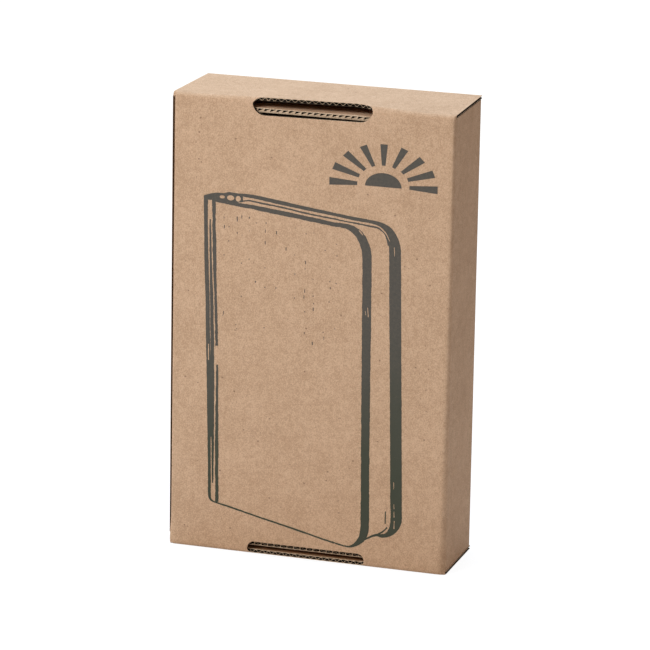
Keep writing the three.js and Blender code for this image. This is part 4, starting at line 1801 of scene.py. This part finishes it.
        drawn = [Stroke(front, 0.08), Stroke(back, 0.05), Stroke(pages, 0.07)]
        drawn.append(Stroke(((33.8, 24.6, 0.36), (33.8, 19.3, 0.36)), 0.03))
        drawn.append(Stroke(((30.8, 14.6, 0.5), (32.9, 16.0, 0.45), (34.7, 17.9, 0.5)), 0.03))
        return drawn + [Stroke(points, 0.05, Coat.PAPER) for points in gleams]

    def head(self) -> None:
        """Fills the spine's head, with the three round details left open in it."""
        outline = (
            (-45.0, 148.4), (-42.4, 149.3), (-39.6, 149.9), (-36.6, 149.9), (-34.6, 150.6),
            (-32.0, 150.4), (-30.3, 150.3), (-28.6, 149.9), (-28.5, 146.9), (-31.9, 146.3),
            (-36.2, 146.3), (-40.0, 146.7), (-43.4, 146.6), (-45.0, 146.6),
        )
        self.blot(outline, Coat.SOLID)
        details = (
            ((-37.4, 148.3), (1.1, 0.62)), ((-33.8, 148.2), (1.5, 1.05)),
            ((-30.6, 148.1), (1.05, 1.15)),
        )
        for centre, reach in details:
            self.blot(arc(centre, reach, 0, self.detail_turn, self.detail_steps), Coat.PAPER)

    def grain(self) -> list[Stroke]:
        """Short upright marks in loose rows that stand for the grain of the lamp's cover."""
        marks = []
        across, highest = self.grain_from
        while across < self.grain_to:
            top = highest - self.grain_slope * (across - self.grain_from[0])
            for _ in range(self.random.randint(*self.grain_counts)):
                drop = self.random.random() ** self.grain_crowding * self.grain_drop
                length = self.random.choice(self.grain_lengths)
                width = self.random.uniform(*self.grain_widths)
                x = across + self.random.uniform(-self.grain_sway, self.grain_sway)
                tip = (x, top - drop - length, width * self.grain_point)
                marks.append(Stroke(((x, top - drop, width), tip), 0.03, Coat.RUBBED))
            across += self.random.uniform(*self.grain_gaps)
        return marks

    def _resample(self, stroke: Stroke) -> list[Point]:
        """Even points along a stroke, on a smooth curve through its own points.

        Args:
            stroke: The stroke.

        Returns:
            Place across, place up and width at each point.
        """
        marks = stroke.points
        dense = []
        for index in range(len(marks) - 1):
            first, last = marks[index], marks[index + 1]
            before, after = marks[max(0, index - 1)], marks[min(len(marks) - 1, index + 2)]
            span = math.hypot(last[0] - first[0], last[1] - first[1])
            count = max(1, round(span / self.grid))
            pull = [
                span / max(1e-6, math.hypot(b[0] - a[0], b[1] - a[1]))
                for a, b in ((before, last), (first, after))
            ]
            for step in range(count):
                t = step / count
                weights = (
                    2 * t ** 3 - 3 * t ** 2 + 1, t ** 3 - 2 * t ** 2 + t,
                    3 * t ** 2 - 2 * t ** 3, t ** 3 - t ** 2,
                )
                dense.append(tuple(
                    weights[0] * first[k] + weights[1] * (last[k] - before[k]) * pull[0]
                    + weights[2] * last[k] + weights[3] * (after[k] - first[k]) * pull[1]
                    for k in range(2)
                ) + (first[2] + (last[2] - first[2]) * t,))
        dense.append(marks[-1])
        return dense

    def _next_depth(self) -> float:
        """The place along Y of the next mark, each a little over the one before."""
        self.depth -= self.layer
        return self.depth

    def draw(self, stroke: Stroke) -> None:
        """Draws one stroke as a flat ribbon with slightly uneven edges.

        Args:
            stroke: The stroke.
        """
        dense = self._resample(stroke)
        depth = self._next_depth()
        spread = 0.0 if stroke.coat is Coat.PAPER else self.spread
        pairs = []
        wander = [0.0, 0.0]
        for index, (x, z, width) in enumerate(dense):
            before, after = dense[max(0, index - 1)], dense[min(len(dense) - 1, index + 1)]
            run_x, run_z = after[0] - before[0], after[1] - before[1]
            length = math.hypot(run_x, run_z) or 1.0
            normal = (-run_z / length, run_x / length)
            pair = []
            for number, side in enumerate((-1, 1)):
                nudge = self.random.uniform(-stroke.rough, stroke.rough)
                wander[number] = wander[number] * self.wander_kept + nudge
                shift = side * (width + spread) / 2 + wander[number]
                spot = (x + normal[0] * shift, depth, z + normal[1] * shift)
                pair.append(self.pen.point(spot))
            pairs.append(pair)
        for (a, b), (c, d) in zip(pairs, pairs[1:]):
            self.pen.face((a, c, d, b), stroke.coat.value)

    def blot(self, outline: Sequence[Pair], coat: Coat) -> None:
        """Fills an outline of places across and up."""
        depth = self._next_depth()
        self.pen.face([self.pen.point((x, depth, z)) for x, z in outline], coat.value)

    def rays(self) -> None:
        """Draws a half sun with tapered rays, a plain sign for light."""
        cx, cz = self.ray_centre
        for index in range(self.ray_count):
            turn = math.pi * index / (self.ray_count - 1)
            along = (math.cos(turn), math.sin(turn))
            side = (-along[1], along[0])
            corners = []
            for radius, half in (
                (self.ray_inner, -self.ray_half_inner), (self.ray_outer, -self.ray_half_outer),
                (self.ray_outer, self.ray_half_outer), (self.ray_inner, self.ray_half_inner),
            ):
                x = cx + along[0] * radius * self.ray_stretch + side[0] * half
                corners.append((x, cz + along[1] * radius + side[1] * half))
            self.blot(corners, Coat.SOLID)
        reach = (self.sun_radius * self.ray_stretch, self.sun_radius)
        half_disc = arc((cx, cz - self.sun_drop), reach, 0, 180, self.sun_steps)
        self.blot(half_disc, Coat.SOLID)

    def make(self) -> bpy.types.Object:
        """Draws it all and lays it on the lid."""
        self.head()
        for stroke in self.grain() + self.spine() + self.covers():
            self.draw(stroke)
        self.rays()
        f = self.finishes
        made = self.pen.make("front_print", (f.ink, f.rubbed, f.outside))
        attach(made, Body.LID.value)
        LOG.info("printed the front with %d faces", len(made.data.polygons))
        return made


# The lamp

@dataclass
class Lamp:
    """The closed book lamp in the tray: covers, hinges, pleated paper and its small parts."""

    finishes: Finishes
    corner: float = 8.0
    corner_steps: int = 14
    ease: float = 0.5
    leaf: float = 0.24
    leaf_gap: float = 1.85
    leaf_inset: float = 0.3
    leaf_steps: int = 24
    fold_swell: float = 0.28
    fold_steps: int = 6
    paper_step: float = 24.0
    strip_step: float = 20.0
    strip_column: float = 0.35
    groove_depth: float = 0.18
    groove_left: Pair = (37.5, 40.0)
    groove_right: Pair = (43.0, 40.4)
    strip_bend: Pair = (0.0425, 0.0372)

    def outline(self, box: Box) -> list[Pair]:
        """A cover's outline with its two round outer corners.

        Args:
            box: The cover's box.

        Returns:
            Points across and up.
        """
        left, right = box.low[0], box.high[0]
        low, high = box.low[2], box.high[2]
        radii, across = (self.corner, self.corner), left + self.corner
        upper = arc((across, high - self.corner), radii, 90, 180, self.corner_steps)
        lower = arc((across, low + self.corner), radii, 180, 270, self.corner_steps)
        return [(right, low), (right, high), *upper, *lower]

    def covers(self) -> None:
        """The two veneered covers, with their rims eased."""
        for node, body in (("front_cover", Body.LAMP_COVER), ("back_cover", Body.TRAY)):
            box = Box.of(node)
            pen = Pen()
            pen.prism(self.outline(box), box.low[1], box.high[1], lambda a, b, y: (a, y, b))
            made = pen.make(node + "_board", (self.finishes.veneer,), bevel=self.ease)
            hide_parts(node)
            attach(made, body.value)
            LOG.info("made %s", made.name)

    def hinges(self) -> None:
        """The two leather strips between the spine and the covers."""
        for node in ("front_hinge_strip", "back_hinge_strip"):
            box = Box.of(node)
            rear = node.startswith("back")
            columns = steps(box.low[0], box.high[0], self.strip_column)
            outer, inner = [], []
            for across in columns:
                sag = self.groove_depth * smooth(across, *self.groove_left)
                sag *= smooth(across, *self.groove_right)
                faces = [box.low[1] + sag, box.high[1]]
                if rear:
                    faces = [box.high[1] - sag, box.low[1]]
                heights = steps(box.low[2], box.high[2], self.strip_step)
                for side, y in ((outer, faces[0]), (inner, faces[1])):
                    side.append([(across, y, z) for z in heights])
            pen = Pen()
            pen.slab(outer, inner, columns, (0, 0, 0))
            made = pen.make(node + "_leather", (self.finishes.hide,))
            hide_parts(node)
            if rear:
                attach(made, Body.TRAY.value)
            else:
                y = box.low[1] * MM
                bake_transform(made)
            LOG.info("made %s", made.name)

    def pleats(self) -> None:
        """The paper fan: one long sheet folded to and fro."""
        box = Box.of("paper_fan")
        root, tip = box.high[0] - self.leaf_inset, box.low[0] + self.leaf_inset
        front, back = box.low[1] + self.leaf, box.high[1] - self.leaf
        count = int((back - front) / self.leaf_gap)
        gap = (back - front) / count
        centre: list[Pair] = []
        for index in range(count + 1):
            y = front + gap * index
            ends = (root, tip) if index % 2 == 0 else (tip, root)
            centre += [
                (ends[0] + (ends[1] - ends[0]) * step / self.leaf_steps, y)
                for step in range(self.leaf_steps + 1)
            ]
            if index < count:
                swell = self.fold_swell if ends[1] == root else -self.fold_swell
                centre += [
                    (ends[1] + swell * math.sin(math.pi * step / self.fold_steps),
                     y + gap * step / self.fold_steps)
                    for step in range(1, self.fold_steps)
                ]
        outer, inner = [], []
        heights = steps(box.low[2], box.high[2], self.paper_step)
        for index, (x, y) in enumerate(centre):
            before, after = centre[max(0, index - 1)], centre[min(len(centre) - 1, index + 1)]
            run = (after[0] - before[0], after[1] - before[1])
            length = math.hypot(*run) or 1.0
            across = (-run[1] / length * self.leaf / 2, run[0] / length * self.leaf / 2)
            outer.append([(x + across[0], y + across[1], z) for z in heights])
            inner.append([(x - across[0], y - across[1], z) for z in heights])
        pen = Pen()
        pen.slab(outer, inner, [0.0] * len(centre), (0, 0, 0))
        made = pen.make("pleated_paper", (self.finishes.paper,))
        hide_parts("paper_fan")
        start, end = (0.0, box.high[1] * MM, 0.0), (0.0, box.low[1] * MM, 0.0)
        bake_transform(made)
        LOG.info("folded %s with %d leaves", made.name, count + 1)

    def dress(self) -> None:
        """Gives every frame node that stays in view its finish."""
        f = self.finishes
        by_name = {
            "spine_shell": f.veneer, "front_fan_board": f.board, "back_fan_board": f.board,
            "light_diffuser": f.diffuser, "charge_indicator": f.diffuser,
            "top_end_cap": f.cap, "bottom_end_cap": f.cap, "mode_button": f.button,
            "tact_switch": f.button, "cover_sensor": f.button, "led_board": f.circuit,
            "control_board": f.circuit, "battery_cell": f.foil, "usb_socket": f.steel,
        }
        by_start = {
            "led_chip": f.phosphor, "battery_lead": f.sleeve, "led_lead": f.sleeve,
            "front_magnet": f.steel, "back_magnet": f.steel, "sensor_magnet": f.steel,
            "top_cap_screw": f.steel, "bottom_cap_screw": f.steel,
        }
        for name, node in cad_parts.items():
            if node.hide_render:
                continue
            found = by_name.get(name) or next(
                material for start, material in by_start.items() if name.startswith(start)
            )
            node.data.materials.clear()
            node.data.materials.append(found)
            LOG.info("dressed %s", name)


# Stage, light and camera

@dataclass(frozen=True)
class SoftLight:
    """One square soft light."""

    name: str
    spot: Point
    side: float
    watts: float
    tint: Point

    def hang(self, aim: Point) -> None:
        """Adds the light.

        Args:
            aim: What it faces.
        """
        data = bpy.data.lights.new(self.name, "AREA")
        data.size, data.energy, data.color = self.side, self.watts, self.tint
        made = bpy.data.objects.new(self.name, data)
        made.location = self.spot
        made.rotation_mode = "QUATERNION"
        made.rotation_quaternion = (Vector(aim) - Vector(self.spot)).to_track_quat("-Z", "Y")
        bpy.context.scene.collection.objects.link(made)


@dataclass(frozen=True)
class Studio:
    """A pale floor, soft light from the upper left and a camera with a long lens."""

    azimuth: float = math.radians(18.0)
    elevation: float = math.radians(14.7)
    roll: float = math.radians(1.0)
    distance: float = 1.6541
    target: Point = (0.0, 0.0, 0.095)
    shift_right: float = 0.00038
    shift_up: float = -0.00086
    focal_pixels: float = 4080.0
    image_side: int = 650
    clipping: Pair = (0.05, 50.0)
    sensor: float = 36.0
    floor_reach: float = 6.0
    floor_glow: float = 1.12
    shadow_share: float = 0.82
    clear_share: float = 0.97
    shadow_reach: float = 160.0
    clear_reach: float = 520.0
    world_strength: float = 0.31
    world_tint: Colour = (1.0, 0.79, 0.63, 1.0)
    floor_white: float = 0.86
    floor_warmth: Point = (0.99, 0.985, 0.98)
    floor_cloud: Noise = Noise(60.0, 2.0, 0.5)
    aim: Point = (0.0, 0.0, 0.11)
    lights: tuple[SoftLight, ...] = (
        SoftLight("main_light", (-0.43, -0.72, 0.74), 0.45, 8.26, (0.84, 0.92, 1.0)),
        SoftLight("top_light", (-0.14, 0.36, 1.05), 0.6, 11.7, (0.565, 0.77, 1.0)),
    )

    def camera(self) -> None:
        """Places the camera as the photograph was taken."""
        level, down = math.cos(self.elevation), math.sin(self.elevation)
        forward = Vector((-math.sin(self.azimuth) * level, math.cos(self.azimuth) * level, -down))
        right = forward.cross(Vector((0, 0, 1))).normalized()
        up = right.cross(forward)
        turned_right = right * math.cos(self.roll) + up * math.sin(self.roll)
        turned_up = up * math.cos(self.roll) - right * math.sin(self.roll)
        data = bpy.data.cameras.new("photo_camera")
        data.sensor_width = self.sensor
        data.lens = self.focal_pixels * self.sensor / self.image_side
        data.clip_start, data.clip_end = self.clipping
        camera = bpy.data.objects.new("photo_camera", data)
        eye = Vector(self.target) - forward * self.distance
        eye += turned_right * self.shift_right + turned_up * self.shift_up
        turn = Matrix((turned_right, turned_up, -forward)).transposed()
        camera.matrix_world = Matrix.Translation(eye) @ turn.to_4x4()
        bpy.context.scene.collection.objects.link(camera)
        bpy.context.scene.camera = camera
        LOG.info("placed the camera %.3f m from the carton", self.distance)

    @staticmethod
    def seen(graph: Graph) -> Wire:
        """1 for what the camera, a mirror or glass sees, and 0 for light on the object."""
        paths = graph.node("ShaderNodeLightPath", output="Is Camera Ray")
        outputs = paths.socket.node.outputs
        glossy, glass = outputs["Is Glossy Ray"], outputs["Is Transmission Ray"]
        return paths.largest(Wire(graph, glossy)).largest(Wire(graph, glass))

    def floor(self) -> None:
        """Lays a white floor that keeps the carton's shadow."""
        graph = Graph.of("pale_floor")
        white = (self.floor_white,) * 3 + (1.0,)
        cloud = graph.noise(self.floor_cloud).rise(*NOISE_MOST)
        warm = tuple(self.floor_white * share for share in self.floor_warmth) + (1.0,)
        lit = graph.node("ShaderNodeBsdfDiffuse", inputs={"Color": graph.mix(cloud, white, warm)})
        glowing = {"Color": WHITE, "Strength": self.floor_glow}
        glow = graph.node("ShaderNodeEmission", inputs=glowing)
        across, through, _ = graph.axes()
        squared = across * across + through * through
        away = squared.math("SQRT", squared)
        reaches = (self.shadow_reach, self.clear_reach)
        share = self.seen(graph) * away.rise(*reaches, self.shadow_share, self.clear_share)
        surface = graph.node("ShaderNodeMixShader", inputs={0: share, 1: lit, 2: glow})
        graph.node("ShaderNodeOutputMaterial", inputs={"Surface": surface})
        pen = Pen()
        reach = self.floor_reach / MM
        corners = ((-reach, -reach), (reach, -reach), (reach, reach), (-reach, reach))
        pen.face([pen.point((x, y, 0.0)) for x, y in corners])
        pen.make("studio_floor", (graph.owner,))

    def world(self) -> None:
        """Surrounds the set with even soft light, seen as white."""
        world = bpy.data.worlds.new("studio_light")
        bpy.context.scene.world = world
        graph = Graph(world)
        strength = self.seen(graph) * (1 - self.world_strength) + self.world_strength
        colour = graph.mix(self.seen(graph), self.world_tint, WHITE)
        inputs = {"Color": colour, "Strength": strength}
        light = graph.node("ShaderNodeBackground", inputs=inputs)
        graph.node("ShaderNodeOutputWorld", inputs={"Surface": light})

    def light(self) -> None:
        """Hangs the main light over the front left, and a cooler one over the top."""
        for lamp in self.lights:
            lamp.hang(self.aim)
            LOG.info("hung %s", lamp.name)


def main() -> None:
    """Builds the boxed lamp on its frame, and the studio round it."""
    logging.basicConfig(level=logging.INFO, format="%(name)s: %(message)s")
    bpy.context.scene.view_settings.view_transform = "Standard"
    studio = Studio()
    studio.camera()
    finishes = Finishes()
    sizes = CartonSizes()
    carton = Carton(sizes, finishes)
    for build in (carton.tray, carton.ends, carton.front, carton.folds, carton.flaps):
        build()
    FrontPrint(finishes, sizes.front + Board.skin).make()
    lamp = Lamp(finishes)
    for build in (lamp.covers, lamp.hinges, lamp.pleats, lamp.dress):
        build()
    studio.floor()
    studio.world()
    studio.light()


if __name__ == "__main__":
    main()
